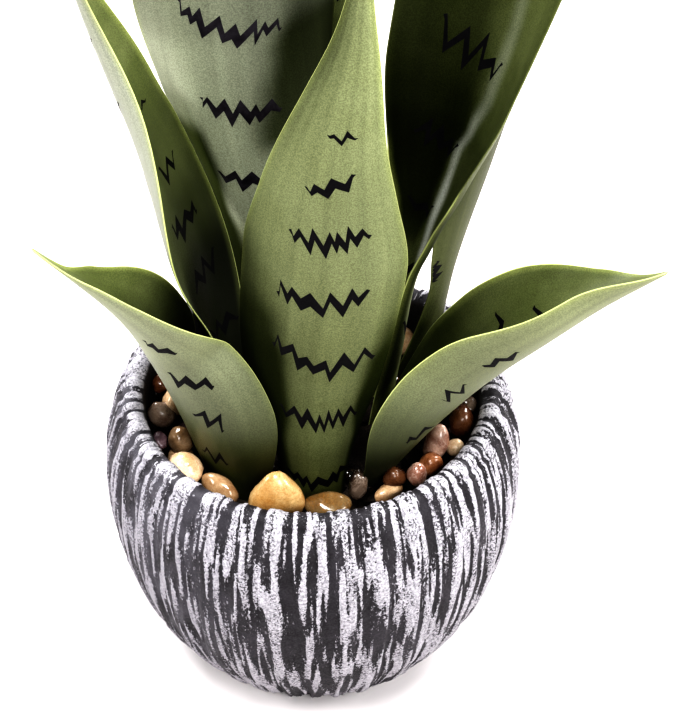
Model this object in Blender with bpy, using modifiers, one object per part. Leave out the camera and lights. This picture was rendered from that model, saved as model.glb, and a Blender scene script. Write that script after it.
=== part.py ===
# A potted snake plant: nine channelled leaves stand in a ribbed cast pot, in a dark planting
# core that is topped with polished pebbles. Lengths are given in millimetres and turned into
# metres by MM. +Z is up, the plant's front faces -Y, and the origin is the centre of the
# pot's flat underside.

import math
import random

import bmesh
import bpy
from mathutils import Euler, Matrix, Vector, noise
from mathutils.bvhtree import BVHTree

MM = 0.001
CLEARANCE = 0.3

# Pot: a turned shell with a belly, a narrower mouth and a rounded rim.
POT_HEIGHT = 104.0
POT_SIDE = [(0.0, 45.5), (0.12, 53.5), (0.3, 62.1), (0.55, 67.5), (0.8, 67.0), (1.0, 60.9)]
POT_MOUTH_RADIUS = 54.9
POT_WELL = [(0.0, 40.0), (0.18, 47.5), (0.45, 52.6), (1.0, 54.9)]
POT_FLOOR = 9.0
POT_FOOT_EDGE = 1.5
RIM_FOOT = POT_HEIGHT - (POT_SIDE[-1][1] - POT_MOUTH_RADIUS) / 2
POT_TURN_STEPS = 108
POT_SIDE_POINTS = 9
POT_WELL_POINTS = 5
RIM_POINTS = 6

# Ribs: they run up the pot's side and over its rim, and wander as they go. Each wander is
# (reach in radians of a rib's turn, waves round the pot, change up the pot, start).
RIBS = 36
RIB_DEPTH = 1.1
RIB_WANDERS = [(0.8, 5, 3.0, 0.0), (0.6, 9, -5.0, 2.0)]
RIB_DEPTH_WANDER = (0.25, 7, 9.0, 0.0)
RIB_EDGES = (0.25, 0.9)
RIM_RIB_SHARE = 0.3

# Planting core: fills the pot's well up to the pebbles, a little higher in the middle.
CORE_EDGE_HEIGHT = 84.0
CORE_DOME = 3.0
CORE_TURN_STEPS = 48
CORE_TOP_POINTS = 5

# Leaves: each blade follows a route of points, starting in the core. "facing" is the azimuth
# that its hollow face looks to, "fold" is half the angle that its channel turns through and
# "width" is half the width measured round the channel; each is keyed by the fraction of the
# blade's length.
LEAF_THICKNESS = 1.5
LEAF_ROWS = 17
LEAF_COLUMNS = 9
LEAVES = {
    "leaf_front": {
        "route": [(1, -29, 62), (-1, -36, 98), (-1, -37, 139), (3, -38, 180), (6, -39, 216),
                  (13, -34, 253), (16, -28, 287)],
        "facing": [(0, 79), (1, 79)],
        "fold": [(0, 82), (0.12, 74), (0.33, 46), (0.55, 47), (1, 38)],
        "width": [(0, 10.6), (0.13, 13.3), (0.25, 18.4), (0.34, 23.3), (0.43, 25.5), (0.52, 26.3),
                  (0.63, 21.2), (0.77, 11.8), (0.9, 3.9), (1, 1.0)],
    },
    "leaf_low_left": {
        "route": [(-21, -30, 62), (-30, -28, 91), (-38, -29, 118), (-46, -32, 143),
                  (-55, -36.5, 166), (-75, -38, 190)],
        "facing": [(0, 43), (0.5, 35), (1, 20)],
        "fold": [(0, 80), (0.25, 56), (0.6, 110), (0.85, 44), (1, 20)],
        "width": [(0, 9), (0.2, 20), (0.42, 32), (0.65, 26.5), (0.83, 14), (0.92, 3.5), (1, 1.0)],
    },
    "leaf_low_right": {
        "route": [(21, -27, 62), (34, -26, 95), (55, -26, 128), (75, -30, 156), (101, -31, 176)],
        "facing": [(0, 170), (0.5, 160), (1, 162)],
        "fold": [(0, 85), (0.25, 76), (0.6, 105), (0.85, 60), (1, 30)],
        "width": [(0, 8.5), (0.2, 20), (0.42, 34), (0.65, 29), (0.85, 16), (1, 1.0)],
    },
    "leaf_low_back": {
        "route": [(-6, 47, 62), (-6, 50, 97), (-3, 57, 130), (4, 68, 158), (14, 88, 180)],
        "facing": [(0, -92), (0.5, -100), (1, -100)],
        "fold": [(0, 82), (0.25, 60), (0.6, 85), (0.85, 45), (1, 30)],
        "width": [(0, 9), (0.2, 18), (0.42, 31), (0.65, 27), (0.85, 13), (1, 1.0)],
    },
    "leaf_mid_left": {
        "route": [(-21, -10, 62), (-28, -7, 107), (-36, -3, 151), (-46, -3, 194), (-59, 0, 236),
                  (-67, -8, 285)],
        "facing": [(0, -14), (1, 10)],
        "fold": [(0, 80), (0.18, 75), (0.51, 21), (0.81, 61), (1, 47)],
        "width": [(0, 9.8), (0.17, 11.2), (0.51, 29), (0.66, 22), (0.86, 5.8), (1, 1.0)],
    },
    "leaf_mid_right": {
        "route": [(25, 24, 62), (35.5, 27.5, 94), (45.5, 31, 134), (56.5, 35, 177), (66.5, 39, 221),
                  (75, 44, 267)],
        "facing": [(0, 160), (0.15, 147), (0.35, 155), (1, 150)],
        "fold": [(0, 78), (0.08, 55), (0.38, 35), (0.69, 36), (1, 40)],
        "width": [(0, 9), (0.15, 8.6), (0.49, 22.2), (0.64, 20), (0.84, 10), (1, 1.0)],
    },
    "leaf_tall_left": {
        "route": [(-10, 15, 62), (-13, 19, 117), (-15, 21, 175), (-19, 22, 236), (-22, 23, 301),
                  (-25, 25, 397)],
        "facing": [(0, 94), (1, 109)],
        "fold": [(0, 80), (0.09, 80), (0.35, 84), (0.62, 16), (1, 45)],
        "width": [(0, 10.5), (0.1, 11.5), (0.2, 16.3), (0.3, 24.5), (0.39, 36), (0.52, 32), (0.78, 16),
                  (0.93, 5), (1, 1.0)],
    },
    "leaf_tall_right": {
        "route": [(18, 1, 62), (24, 7, 109), (37, 12, 154), (46, 13.5, 204), (56, 15, 258),
                  (67, 15, 314), (72, 12, 372)],
        "facing": [(0, -190), (0.5, -134), (1, -118)],
        "fold": [(0, 80), (0.12, 88), (0.4, 68), (0.7, 46), (1, 45)],
        "width": [(0, 9.5), (0.12, 10), (0.25, 9.6), (0.38, 20.3), (0.5, 26.9), (0.65, 28),
                  (0.85, 12), (1, 1.0)],
    },
    "leaf_tall_back": {
        "route": [(2, 36, 62), (0, 39, 92), (-3, 49, 150), (-5, 55, 220), (-5, 57, 280),
                  (-4, 55, 340)],
        "facing": [(0, -90), (1, -90)],
        "fold": [(0, 80), (0.1, 80), (0.4, 60), (0.7, 50), (1, 45)],
        "width": [(0, 10), (0.15, 11), (0.5, 24), (0.65, 21), (0.85, 10), (1, 1.0)],
    },
}

# Pebbles: the ones along the front of the rim are placed by hand as (x, y, length, width,
# height, turn, stone) and the rest are strewn over the core.
PLACED_PEBBLES = [
    (-11, -45, 18, 12, 17, 5, "amber"),
    (6, -45, 16, 11, 9, 0, "amber"),
    (17, -45, 9, 8, 12, 20, "grey"),
    (26, -40, 14, 9, 8, 30, "tan"),
    (35, -33, 12, 8, 9, 50, "umber"),
    (41, -25, 9, 8, 9, 60, "rose"),
    (44, -17, 13, 9, 11, 70, "rose"),
    (47, -5, 14, 10, 9, 85, "umber"),
    (47, 8, 12, 9, 8, 95, "grey"),
    (-38, -31, 15, 9, 12, 130, "cream"),
    (-26, -41, 14, 9, 9, 150, "tan"),
    (-44, -20, 13, 9, 11, 115, "tan"),
    (-48, -10, 9, 8, 8, 100, "plum"),
    (-47, 1, 13, 10, 12, 95, "grey"),
    (-45, 12, 12, 8, 11, 75, "cream"),
    (-44, 23, 12, 9, 9, 60, "umber"),
]
STREWN_PEBBLES = 33
STREWN_LENGTHS = (14.5, 8.0)
STREWN_FROM_AXIS = 28.0
PLACED_HIGHEST = 105.0
STREWN_HIGHEST = 101.0
PLACES_TRIED = 40
PEBBLE_RISE = 0.25
SEED = 11

# Name: (base colour, roughness, metallic).
FINISHES = {
    "pot_cast": ((0.11, 0.10, 0.11), 0.8, 0.0),
    "planting_core": ((0.035, 0.028, 0.022), 0.95, 0.0),
    "leaf_green": ((0.24, 0.33, 0.15), 0.5, 0.0),
    "pebble_amber": ((0.60, 0.30, 0.08), 0.2, 0.0),
    "pebble_tan": ((0.55, 0.38, 0.22), 0.25, 0.0),
    "pebble_rose": ((0.42, 0.26, 0.22), 0.25, 0.0),
    "pebble_grey": ((0.30, 0.25, 0.22), 0.25, 0.0),
    "pebble_umber": ((0.22, 0.08, 0.04), 0.2, 0.0),
    "pebble_cream": ((0.72, 0.55, 0.40), 0.25, 0.0),
    "pebble_plum": ((0.15, 0.09, 0.10), 0.2, 0.0),
}


def clear_scene():
    for existing in list(bpy.data.objects):
        bpy.data.objects.remove(existing, do_unlink=True)


def make_collection(name, helper=False):
    collection = bpy.data.collections.new(name)
    bpy.context.scene.collection.children.link(collection)
    collection.hide_render = helper
    return collection


def make_material(name):
    colour, roughness, metallic = FINISHES[name]
    material = bpy.data.materials.new(name)
    material.use_nodes = True
    shader = material.node_tree.nodes["Principled BSDF"]
    shader.inputs["Base Color"].default_value = (*colour, 1.0)
    shader.inputs["Roughness"].default_value = roughness
    shader.inputs["Metallic"].default_value = metallic
    material.diffuse_color = (*colour, 1.0)
    return material


def add_object(name, mesh, collection, finish=None, smooth=True):
    thing = bpy.data.objects.new(name, mesh)
    collection.objects.link(thing)
    if finish:
        mesh.materials.append(make_material(finish) if finish not in bpy.data.materials
                              else bpy.data.materials[finish])
    if smooth:
        mesh.shade_smooth()
    return thing


def through(points, fraction):
    """The place at a fraction of the way along a smooth curve through the points."""
    first, last = Vector(points[0]), Vector(points[-1])
    before = 2 * first - Vector(points[1])
    after = 2 * last - Vector(points[-2])
    padded = [before, *[Vector(point) for point in points], after]
    stretch = fraction * (len(points) - 1)
    index = min(max(int(math.floor(stretch)), 0), len(points) - 2)
    f = stretch - index
    a, b, c, d = padded[index:index + 4]
    return 0.5 * (2 * b + (c - a) * f + (2 * a - 5 * b + 4 * c - d) * f * f
                  + (3 * b - a - 3 * c + d) * f ** 3)


def eased(knots, fraction):
    """A keyed value, eased in and out of every key."""
    for (start, low), (end, high) in zip(knots, knots[1:]):
        if fraction <= end:
            f = max(0.0, (fraction - start) / (end - start))
            return low + (high - low) * f * f * (3 - 2 * f)
    return knots[-1][1]


def monotone(knots, fraction):
    """A keyed value on a smooth curve that does not overshoot its keys."""
    slopes = [(high - low) / (end - start)
              for (start, low), (end, high) in zip(knots, knots[1:])]
    tangents = [slopes[0]]
    for left, right in zip(slopes, slopes[1:]):
        tangents.append(0.0 if left * right <= 0 else 2 * left * right / (left + right))
    tangents.append(slopes[-1])
    index = 0
    while index < len(knots) - 2 and fraction > knots[index + 1][0]:
        index += 1
    start, low = knots[index]
    end, high = knots[index + 1]
    span = end - start
    f = min(1.0, max(0.0, (fraction - start) / span))
    return ((2 * f ** 3 - 3 * f * f + 1) * low + (f ** 3 - 2 * f * f + f) * span * tangents[index]
            + (3 * f * f - 2 * f ** 3) * high + (f ** 3 - f * f) * span * tangents[index + 1])


class LeafSurface:
    """The middle surface of a leaf, found from its route, facing, fold and width."""

    SAMPLES = 200

    def __init__(self, shape):
        self.shape = shape
        self.places = [through(shape["route"], i / (self.SAMPLES - 1))
                       for i in range(self.SAMPLES)]
        self.lengths = [0.0]
        for here, there in zip(self.places, self.places[1:]):
            self.lengths.append(self.lengths[-1] + (there - here).length)
        self.length = self.lengths[-1]

    def spine(self, fraction):
        wanted = fraction * self.length
        if wanted <= 0:
            start, toward = self.places[0], self.places[1]
            return start + (toward - start).normalized() * wanted
        index = 0
        while index < self.SAMPLES - 2 and self.lengths[index + 1] < wanted:
            index += 1
        step = self.lengths[index + 1] - self.lengths[index]
        return self.places[index].lerp(self.places[index + 1], (wanted - self.lengths[index]) / step)

    def point(self, across, along):
        """Across runs from -1 to 1 between the edges, and along from 0 to 1 up the blade."""
        nudge = 0.012
        tangent = (self.spine(min(along + nudge, 1.0)) - self.spine(along - nudge)).normalized()
        azimuth = math.radians(eased(self.shape["facing"], along))
        hollow = Vector((math.cos(azimuth), math.sin(azimuth), 0.0))
        hollow = (hollow - hollow.dot(tangent) * tangent).normalized()
        side = tangent.cross(hollow)
        fold = math.radians(eased(self.shape["fold"], along))
        radius = monotone(self.shape["width"], along) / fold
        angle = across * fold
        return (self.spine(along) + side * radius * math.sin(angle)
                + hollow * radius * (1 - math.cos(angle)))


def leaf_sheet(name, surface, across, along, thickness, collection, finish=None):
    """A grid bent on to the leaf's surface and thickened by Solidify."""
    bm = bmesh.new()
    bmesh.ops.create_grid(bm, x_segments=len(across) - 1, y_segments=len(along) - 1, size=1.0)
    for vert in bm.verts:
        column = round((vert.co.x + 1) / 2 * (len(across) - 1))
        row = round((vert.co.y + 1) / 2 * (len(along) - 1))
        vert.co = surface.point(across[column], along[row]) * MM
    mesh = bpy.data.meshes.new(name)
    bm.to_mesh(mesh)
    bm.free()
    sheet = add_object(name, mesh, collection, finish)
    thicken = sheet.modifiers.new("Blade", "SOLIDIFY")
    thicken.thickness = thickness * MM
    thicken.offset = 0.0
    return sheet


def build_leaf(name, shape, collection):
    across = [2 * i / (LEAF_COLUMNS - 1) - 1 for i in range(LEAF_COLUMNS)]
    along = [i / (LEAF_ROWS - 1) for i in range(LEAF_ROWS)]
    return leaf_sheet(name, LeafSurface(shape), across, along, LEAF_THICKNESS, collection,
                      "leaf_green")


def build_slot_cutter(name, shape, collection):
    """The foot of a leaf, grown by the clearance all round, to cut its slot in the core."""
    surface = LeafSurface(shape)
    across = [2 * i / (LEAF_COLUMNS - 1) - 1 for i in range(LEAF_COLUMNS)]
    margin = CLEARANCE / monotone(shape["width"], 0.0)
    across = [across[0] - margin, *across, across[-1] + margin]
    along = [-CLEARANCE / surface.length]
    row = 0
    while surface.spine(along[-1]).z < CORE_EDGE_HEIGHT + 3 * CORE_DOME:
        along.append(row / (LEAF_ROWS - 1))
        row += 1
    cutter = leaf_sheet(name, surface, across, along, LEAF_THICKNESS + 2 * CLEARANCE, collection)
    cutter.display_type = "WIRE"
    cutter.hide_render = True
    return cutter


def turned(name, profile, steps, collection, finish):
    """A closed body turned about Z from (radius, height) points that start and end on the axis."""
    bm = bmesh.new()
    verts = [bm.verts.new((radius * MM, 0.0, height * MM)) for radius, height in profile]
    for lower, upper in zip(verts, verts[1:]):
        bm.edges.new((lower, upper))
    mesh = bpy.data.meshes.new(name)
    bm.to_mesh(mesh)
    bm.free()
    body = add_object(name, mesh, collection, finish)
    spin = body.modifiers.new("Turn", "SCREW")
    spin.angle = math.tau
    spin.steps = steps
    spin.render_steps = steps
    spin.use_merge_vertices = True
    spin.merge_threshold = 0.01 * MM
    spin.use_smooth_shade = True
    return body


def side_radius(height):
    points = [(fraction, radius, 0.0) for fraction, radius in POT_SIDE]
    return keyed_radius(points, height / POT_HEIGHT)


def well_radius(height):
    points = [(fraction, radius, 0.0) for fraction, radius in POT_WELL]
    return keyed_radius(points, (height - POT_FLOOR) / (POT_HEIGHT - POT_FLOOR))


def keyed_radius(points, fraction):
    """The radius of a smooth outline where it reaches a fraction of its height."""
    low, high = 0.0, 1.0
    for _ in range(30):
        middle = (low + high) / 2
        if through(points, middle).x < fraction:
            low = middle
        else:
            high = middle
    return through(points, (low + high) / 2).y


def spread(start, end, count):
    return [start + (end - start) * i / (count - 1) for i in range(count)]


def well_outline():
    """The pot's inner wall from its floor to the foot of the rim, as (radius, height) points."""
    return [(well_radius(z), z) for z in spread(POT_FLOOR, RIM_FOOT, POT_WELL_POINTS)]


def wander(reach, waves, change, start, angle, share):
    return reach * math.sin(waves * angle + change * share + start)


def rib_sink(angle, height):
    """How far the pot's surface lies below the tops of its ribs."""
    share = height / POT_HEIGHT
    turn = RIBS * angle + sum(wander(*rule, angle, share) for rule in RIB_WANDERS)
    groove = (0.5 - 0.5 * math.cos(turn) - RIB_EDGES[0]) / (RIB_EDGES[1] - RIB_EDGES[0])
    groove = min(1.0, max(0.0, groove))
    depth = RIB_DEPTH * (1 - RIB_DEPTH_WANDER[0] + wander(*RIB_DEPTH_WANDER, angle, share))
    return depth * groove * groove * (3 - 2 * groove)


def pot_profile():
    """The pot's outline from its inner floor to its underside, as (radius, height, ribs)."""
    rim_radius = POT_HEIGHT - RIM_FOOT
    rim_centre = POT_MOUTH_RADIUS + rim_radius
    profile = [(radius, height, 0.0) for radius, height in well_outline()[:-1]]
    for share in spread(0.0, 1.0, RIM_POINTS):
        angle = math.pi * (1 - share)
        profile.append((rim_centre + rim_radius * math.cos(angle),
                        RIM_FOOT + rim_radius * math.sin(angle),
                        min(1.0, share / RIM_RIB_SHARE)))
    profile += [(side_radius(z), z, 1.0)
                for z in spread(RIM_FOOT, POT_FOOT_EDGE, POT_SIDE_POINTS)[1:]]
    profile.append((side_radius(0.0) - POT_FOOT_EDGE, 0.0, 0.0))
    return profile


def build_pot(collection):
    profile = pot_profile()
    bm = bmesh.new()
    rings = []
    for index, (radius, height, ribs) in enumerate(profile):
        before = profile[max(0, index - 1)]
        after = profile[min(len(profile) - 1, index + 1)]
        outward = Vector((before[1] - after[1], after[0] - before[0])).normalized()
        ring = []
        for step in range(POT_TURN_STEPS):
            angle = math.tau * step / POT_TURN_STEPS
            sink = ribs * rib_sink(angle, height)
            reach = radius - outward.x * sink
            place = Vector((reach * math.cos(angle), reach * math.sin(angle),
                            height - outward.y * sink))
            ring.append(bm.verts.new(place * MM))
        rings.append(ring)
    for upper, lower in zip(rings, rings[1:]):
        for step in range(POT_TURN_STEPS):
            beside = (step + 1) % POT_TURN_STEPS
            bm.faces.new((upper[step], lower[step], lower[beside], upper[beside]))
    bm.faces.new(rings[0])
    bm.faces.new(reversed(rings[-1]))
    mesh = bpy.data.meshes.new("pot")
    bm.to_mesh(mesh)
    bm.free()
    return add_object("pot", mesh, collection, "pot_cast")


def core_height(radius):
    """The height of the core's top, which is domed toward the middle."""
    return CORE_EDGE_HEIGHT + CORE_DOME * (1 - (radius / POT_MOUTH_RADIUS) ** 2)


def build_core(collection, cutters):
    """The core keeps the clearance to the pot's wall all round and to its floor."""
    gap = CLEARANCE / math.cos(math.pi / CORE_TURN_STEPS)
    side = [(radius - gap, height) for radius, height in well_outline()]
    below = max(point for point in side if point[1] < CORE_EDGE_HEIGHT)
    above = min(point for point in side if point[1] >= CORE_EDGE_HEIGHT)
    share = (CORE_EDGE_HEIGHT - below[1]) / (above[1] - below[1])
    edge_radius = below[0] + (above[0] - below[0]) * share
    profile = [(radius, core_height(radius)) for radius in spread(0.0, edge_radius, CORE_TOP_POINTS)]
    profile += [point for point in reversed(side) if POT_FLOOR < point[1] < CORE_EDGE_HEIGHT]
    profile += [(side[0][0], POT_FLOOR + CLEARANCE), (0.0, POT_FLOOR + CLEARANCE)]
    core = turned("planting_core", profile, CORE_TURN_STEPS, collection, "planting_core")
    for name, shape in LEAVES.items():
        slot = core.modifiers.new("Slot " + name, "BOOLEAN")
        slot.operation = "DIFFERENCE"
        slot.solver = "EXACT"
        slot.object = build_slot_cutter("slot_" + name, shape, cutters)
    return core


def world_tree(thing):
    """The evaluated faces of an object as a search tree in world space."""
    evaluated = thing.evaluated_get(bpy.context.evaluated_depsgraph_get())
    mesh = evaluated.to_mesh()
    points = [thing.matrix_world @ vert.co for vert in mesh.vertices]
    faces = [tuple(face.vertices) for face in mesh.polygons]
    evaluated.to_mesh_clear()
    return BVHTree.FromPolygons(points, faces)


def pebble_mesh(name, length, width, height):
    """A water-worn stone: a sphere stretched to size, with slow lumps and a flatter belly."""
    bm = bmesh.new()
    bmesh.ops.create_icosphere(bm, subdivisions=2, radius=0.5)
    drift = Vector((length, width, height))
    for vert in bm.verts:
        lump = 1.0 + 0.16 * noise.noise(vert.co * 2.2 + drift)
        taper = 1.0 - 0.16 * vert.co.x
        vert.co = Vector((vert.co.x * length * lump, vert.co.y * width * lump * taper,
                          vert.co.z * height * lump * taper)) * MM
    mesh = bpy.data.meshes.new(name)
    bm.to_mesh(mesh)
    bm.free()
    return mesh


class PebbleBed:
    """Sets pebbles down one by one, each as low as it fits among what already lies there."""

    def __init__(self, solids):
        self.fixed = [world_tree(solid) for solid in solids]
        self.laid = []

    def is_free(self, points, faces, centre):
        """Free of the fixed solids and of every laid pebble, also of one that would hold it."""
        distances = [(point - centre).length for point in points]
        near = []
        for tree, middle, inner, outer in self.laid:
            apart = (middle - centre).length
            if apart < inner + min(distances):
                return False
            if apart < outer + max(distances):
                near.append(tree)
        grown = BVHTree.FromPolygons(points, faces)
        return not any(grown.overlap(tree) for tree in self.fixed + near)

    def lowest(self, mesh, x, y, turn, tilt, highest):
        """The lowest free place over (x, y) as a matrix, or None where there is no room."""
        spin = Euler((*tilt, turn)).to_matrix().to_4x4()
        faces = [tuple(face.vertices) for face in mesh.polygons]
        shape = [spin @ (vert.co + vert.co.normalized() * CLEARANCE * MM) for vert in mesh.vertices]
        top = max(point.z for point in shape)
        height = core_height(math.hypot(x, y)) * MM - min(point.z for point in shape)
        while height + top < highest * MM:
            centre = Vector((x * MM, y * MM, height))
            if self.is_free([point + centre for point in shape], faces, centre):
                return Matrix.Translation(centre) @ spin
            height += PEBBLE_RISE * MM
        return None

    def lay(self, mesh, place):
        points = [place @ vert.co for vert in mesh.vertices]
        faces = [tuple(face.vertices) for face in mesh.polygons]
        centre = place.translation
        distances = [(point - centre).length for point in points]
        tree = BVHTree.FromPolygons(points, faces)
        self.laid.append((tree, centre, min(distances), max(distances)))


def small_tilt(dice, degrees):
    return tuple(math.radians(dice.uniform(-degrees, degrees)) for _ in range(2))


def strew(bed, dice, name, length):
    """Makes a pebble and finds the lowest of the places tried in the ring inside the rim."""
    size = (length, length * dice.uniform(0.7, 0.88), length * dice.uniform(0.5, 0.7))
    mesh = pebble_mesh(name, *size)
    best = None
    for _ in range(PLACES_TRIED):
        distance = dice.uniform(STREWN_FROM_AXIS, POT_MOUTH_RADIUS - 0.4 * length)
        bearing = dice.uniform(0, math.tau)
        spot = (distance * math.cos(bearing), distance * math.sin(bearing))
        turn = dice.uniform(0, math.tau)
        place = bed.lowest(mesh, *spot, turn, small_tilt(dice, 15), STREWN_HIGHEST)
        if place and (best is None or place.translation.z < best.translation.z):
            best = place
    if best:
        bed.lay(mesh, best)
    return mesh, best


def build_placed_pebbles(bed, dice, collection):
    for index, (x, y, length, width, height, turn, stone) in enumerate(PLACED_PEBBLES):
        name = f"pebble_{index + 1:02d}"
        mesh = pebble_mesh(name, length, width, height)
        place = bed.lowest(mesh, x, y, math.radians(turn), small_tilt(dice, 10), PLACED_HIGHEST)
        if place is None:
            print("no room for", name)
            continue
        bed.lay(mesh, place)
        add_object(name, mesh, collection, "pebble_" + stone).matrix_world = place


def build_strewn_pebbles(bed, dice, collection):
    stones = ["tan", "cream", "grey", "umber", "rose", "amber", "plum"]
    lengths = spread(*STREWN_LENGTHS, STREWN_PEBBLES)
    for index, length in enumerate(lengths):
        name = f"pebble_{len(PLACED_PEBBLES) + index + 1:02d}"
        mesh, place = strew(bed, dice, name, length)
        if place is None:
            print("no room for", name)
            continue
        stone = stones[index % len(stones)]
        add_object(name, mesh, collection, "pebble_" + stone).matrix_world = place


def main():
    clear_scene()
    plant = make_collection("potted_snake_plant")
    cutters = make_collection("cutters", helper=True)
    pot = build_pot(plant)
    core = build_core(plant, cutters)
    leaves = [build_leaf(name, shape, plant) for name, shape in LEAVES.items()]
    bpy.context.view_layer.update()
    bed = PebbleBed([pot, core, *leaves])
    dice = random.Random(SEED)
    build_placed_pebbles(bed, dice, plant)
    build_strewn_pebbles(bed, dice, plant)


main()
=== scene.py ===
# A potted snake plant: nine painted leaves in a dry-brushed cast pot, topped with polished pebbles.
# Sizes in the dictionaries are in millimetres and are turned into metres by mm.
import math
import random

import bmesh
import bpy
from mathutils import Matrix, Vector, noise


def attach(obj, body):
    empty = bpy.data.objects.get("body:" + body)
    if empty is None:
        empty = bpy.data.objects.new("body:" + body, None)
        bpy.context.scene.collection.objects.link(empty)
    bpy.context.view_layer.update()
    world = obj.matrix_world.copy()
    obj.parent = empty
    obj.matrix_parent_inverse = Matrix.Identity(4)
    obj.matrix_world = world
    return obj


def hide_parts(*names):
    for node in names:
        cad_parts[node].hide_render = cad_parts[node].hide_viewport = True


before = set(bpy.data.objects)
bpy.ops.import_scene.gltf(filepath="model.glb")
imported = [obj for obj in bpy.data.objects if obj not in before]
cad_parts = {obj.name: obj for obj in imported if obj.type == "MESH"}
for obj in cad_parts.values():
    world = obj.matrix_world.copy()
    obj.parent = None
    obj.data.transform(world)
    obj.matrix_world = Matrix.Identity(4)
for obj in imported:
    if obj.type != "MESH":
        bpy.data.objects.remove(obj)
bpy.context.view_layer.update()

mm = 0.001


# Small helpers that wire node trees.

class Wiring:
    def __init__(self, tree):
        self.tree = tree

    def join(self, value, socket):
        if isinstance(value, bpy.types.Node):
            value = value.outputs[0]
        if isinstance(value, bpy.types.NodeSocket):
            self.tree.links.new(value, socket)
        elif value is not None:
            socket.default_value = value

    def add(self, kind, *values, named=None, **settings):
        node = self.tree.nodes.new(kind)
        for name, value in settings.items():
            setattr(node, name, value)
        for place, value in enumerate(values):
            self.join(value, node.inputs[place])
        for name, value in (named or {}).items():
            self.join(value, node.inputs[name])
        return node

    def calc(self, operation, *values):
        return self.add("ShaderNodeMath", *values, operation=operation).outputs[0]

    def plus(self, first, second):
        return self.calc("ADD", first, second)

    def minus(self, first, second):
        return self.calc("SUBTRACT", first, second)

    def times(self, first, second):
        return self.calc("MULTIPLY", first, second)

    def vector(self, operation, *values):
        node = self.add("ShaderNodeVectorMath", *values, operation=operation)
        return node.outputs["Value" if operation in ("DOT_PRODUCT", "LENGTH") else "Vector"]

    def scaled(self, vector, factor):
        node = self.add("ShaderNodeVectorMath", vector, operation="SCALE")
        self.join(factor, node.inputs["Scale"])
        return node.outputs["Vector"]

    def combined(self, x, y, z):
        return self.add("ShaderNodeCombineXYZ", x, y, z).outputs[0]

    def parts(self, vector):
        return self.add("ShaderNodeSeparateXYZ", vector).outputs

    def ramp(self, value, start, end, low=0.0, high=1.0):
        node = self.add("ShaderNodeMapRange", value, start, end, low, high,
                        interpolation_type="SMOOTHSTEP")
        return node.outputs[0]

    def mixed(self, factor, first, second, blend="MIX"):
        # the node's sockets 0, 6, 7 and output 2 are the ones for colours
        node = self.add("ShaderNodeMix", data_type="RGBA", blend_type=blend)
        for place, value in ((0, factor), (6, first), (7, second)):
            if isinstance(value, tuple) and len(value) == 3:
                value = (*value, 1.0)
            self.join(value, node.inputs[place])
        return node.outputs[2]

    def dimmed(self, colour, shade):
        return self.mixed(1.0, colour, self.combined(shade, shade, shade), "MULTIPLY")

    def noise(self, vector, scale, detail=2.0, roughness=0.5, distortion=0.0):
        node = self.add("ShaderNodeTexNoise", named={
            "Vector": vector, "Scale": scale, "Detail": detail, "Roughness": roughness,
            "Distortion": distortion})
        return node.outputs["Fac"]


def addSockets(tree, side, sockets):
    # sockets: (name, kind, default), with the kind as in NodeSocketFloat
    for label, kind, value in sockets:
        socket = tree.interface.new_socket(label, in_out=side, socket_type="NodeSocket" + kind)
        if value is not None:
            socket.default_value = value


def newGeometryTree(name, source, numbers, objects=(), materials=()):
    # named inputs: the modified object's geometry, numbers with their values, objects, materials
    tree = bpy.data.node_groups.new(name, "GeometryNodeTree")
    addSockets(tree, "INPUT", [
        (source, "Geometry", None),
        *[(label, "Int" if isinstance(value, int) else "Float", value)
          for label, value in numbers.items()],
        *[(label, "Object", None) for label in objects],
        *[(label, "Material", None) for label in materials]])
    addSockets(tree, "OUTPUT", [("Geometry", "Geometry", None)])
    wiring = Wiring(tree)
    return wiring, wiring.add("NodeGroupInput").outputs, wiring.add("NodeGroupOutput").inputs[0]


def runTree(thing, tree, values):
    # sets the tree's inputs by identifier and turns the result into a plain mesh
    modifier = thing.modifiers.new(tree.name, "NODES")
    modifier.node_group = tree
    for item in tree.interface.items_tree:
        if item.item_type == "SOCKET" and item.in_out == "INPUT" and item.name in values:
            modifier[item.identifier] = values[item.name]
    graph = bpy.context.evaluated_depsgraph_get()
    mesh = bpy.data.meshes.new_from_object(thing.evaluated_get(graph), depsgraph=graph)
    thing.modifiers.remove(modifier)
    return mesh


def newObject(name, data):
    thing = bpy.data.objects.new(name, data)
    bpy.context.scene.collection.objects.link(thing)
    return thing


def meshOf(name, bm):
    mesh = bpy.data.meshes.new(name)
    bm.to_mesh(mesh)
    bm.free()
    return mesh


def dressed(name, mesh, nodes):
    # one finished piece on the root body, standing for its CAD nodes
    mesh.name = name
    piece = newObject(name, mesh)
    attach(piece, "root")
    if nodes:
        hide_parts(*nodes)
    return piece


def sampledFrom(wiring, geometry, kind, field, index):
    return wiring.add("GeometryNodeSampleIndex", geometry, field, index, data_type=kind).outputs[0]


def namedField(wiring, name, kind="FLOAT"):
    return wiring.add("GeometryNodeInputNamedAttribute", name, data_type=kind).outputs[0]


def stored(wiring, geometry, name, value, kind="FLOAT", domain="POINT"):
    return wiring.add("GeometryNodeStoreNamedAttribute", data_type=kind, domain=domain,
                      named={"Geometry": geometry, "Name": name, "Value": value}).outputs[0]


def attributeOf(wiring, name):
    return wiring.add("ShaderNodeAttribute", attribute_name=name).outputs["Fac"]


def newMaterial(name, roughness, constants=None):
    material = bpy.data.materials.new(name)
    material.use_nodes = True
    wiring = Wiring(material.node_tree)
    shader = material.node_tree.nodes["Principled BSDF"]
    shader.inputs["Roughness"].default_value = roughness
    for label, value in (constants or {}).items():
        shader.inputs[label].default_value = value
    place = wiring.add("ShaderNodeTexCoord").outputs["Object"]
    return material, wiring, shader, place


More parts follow.
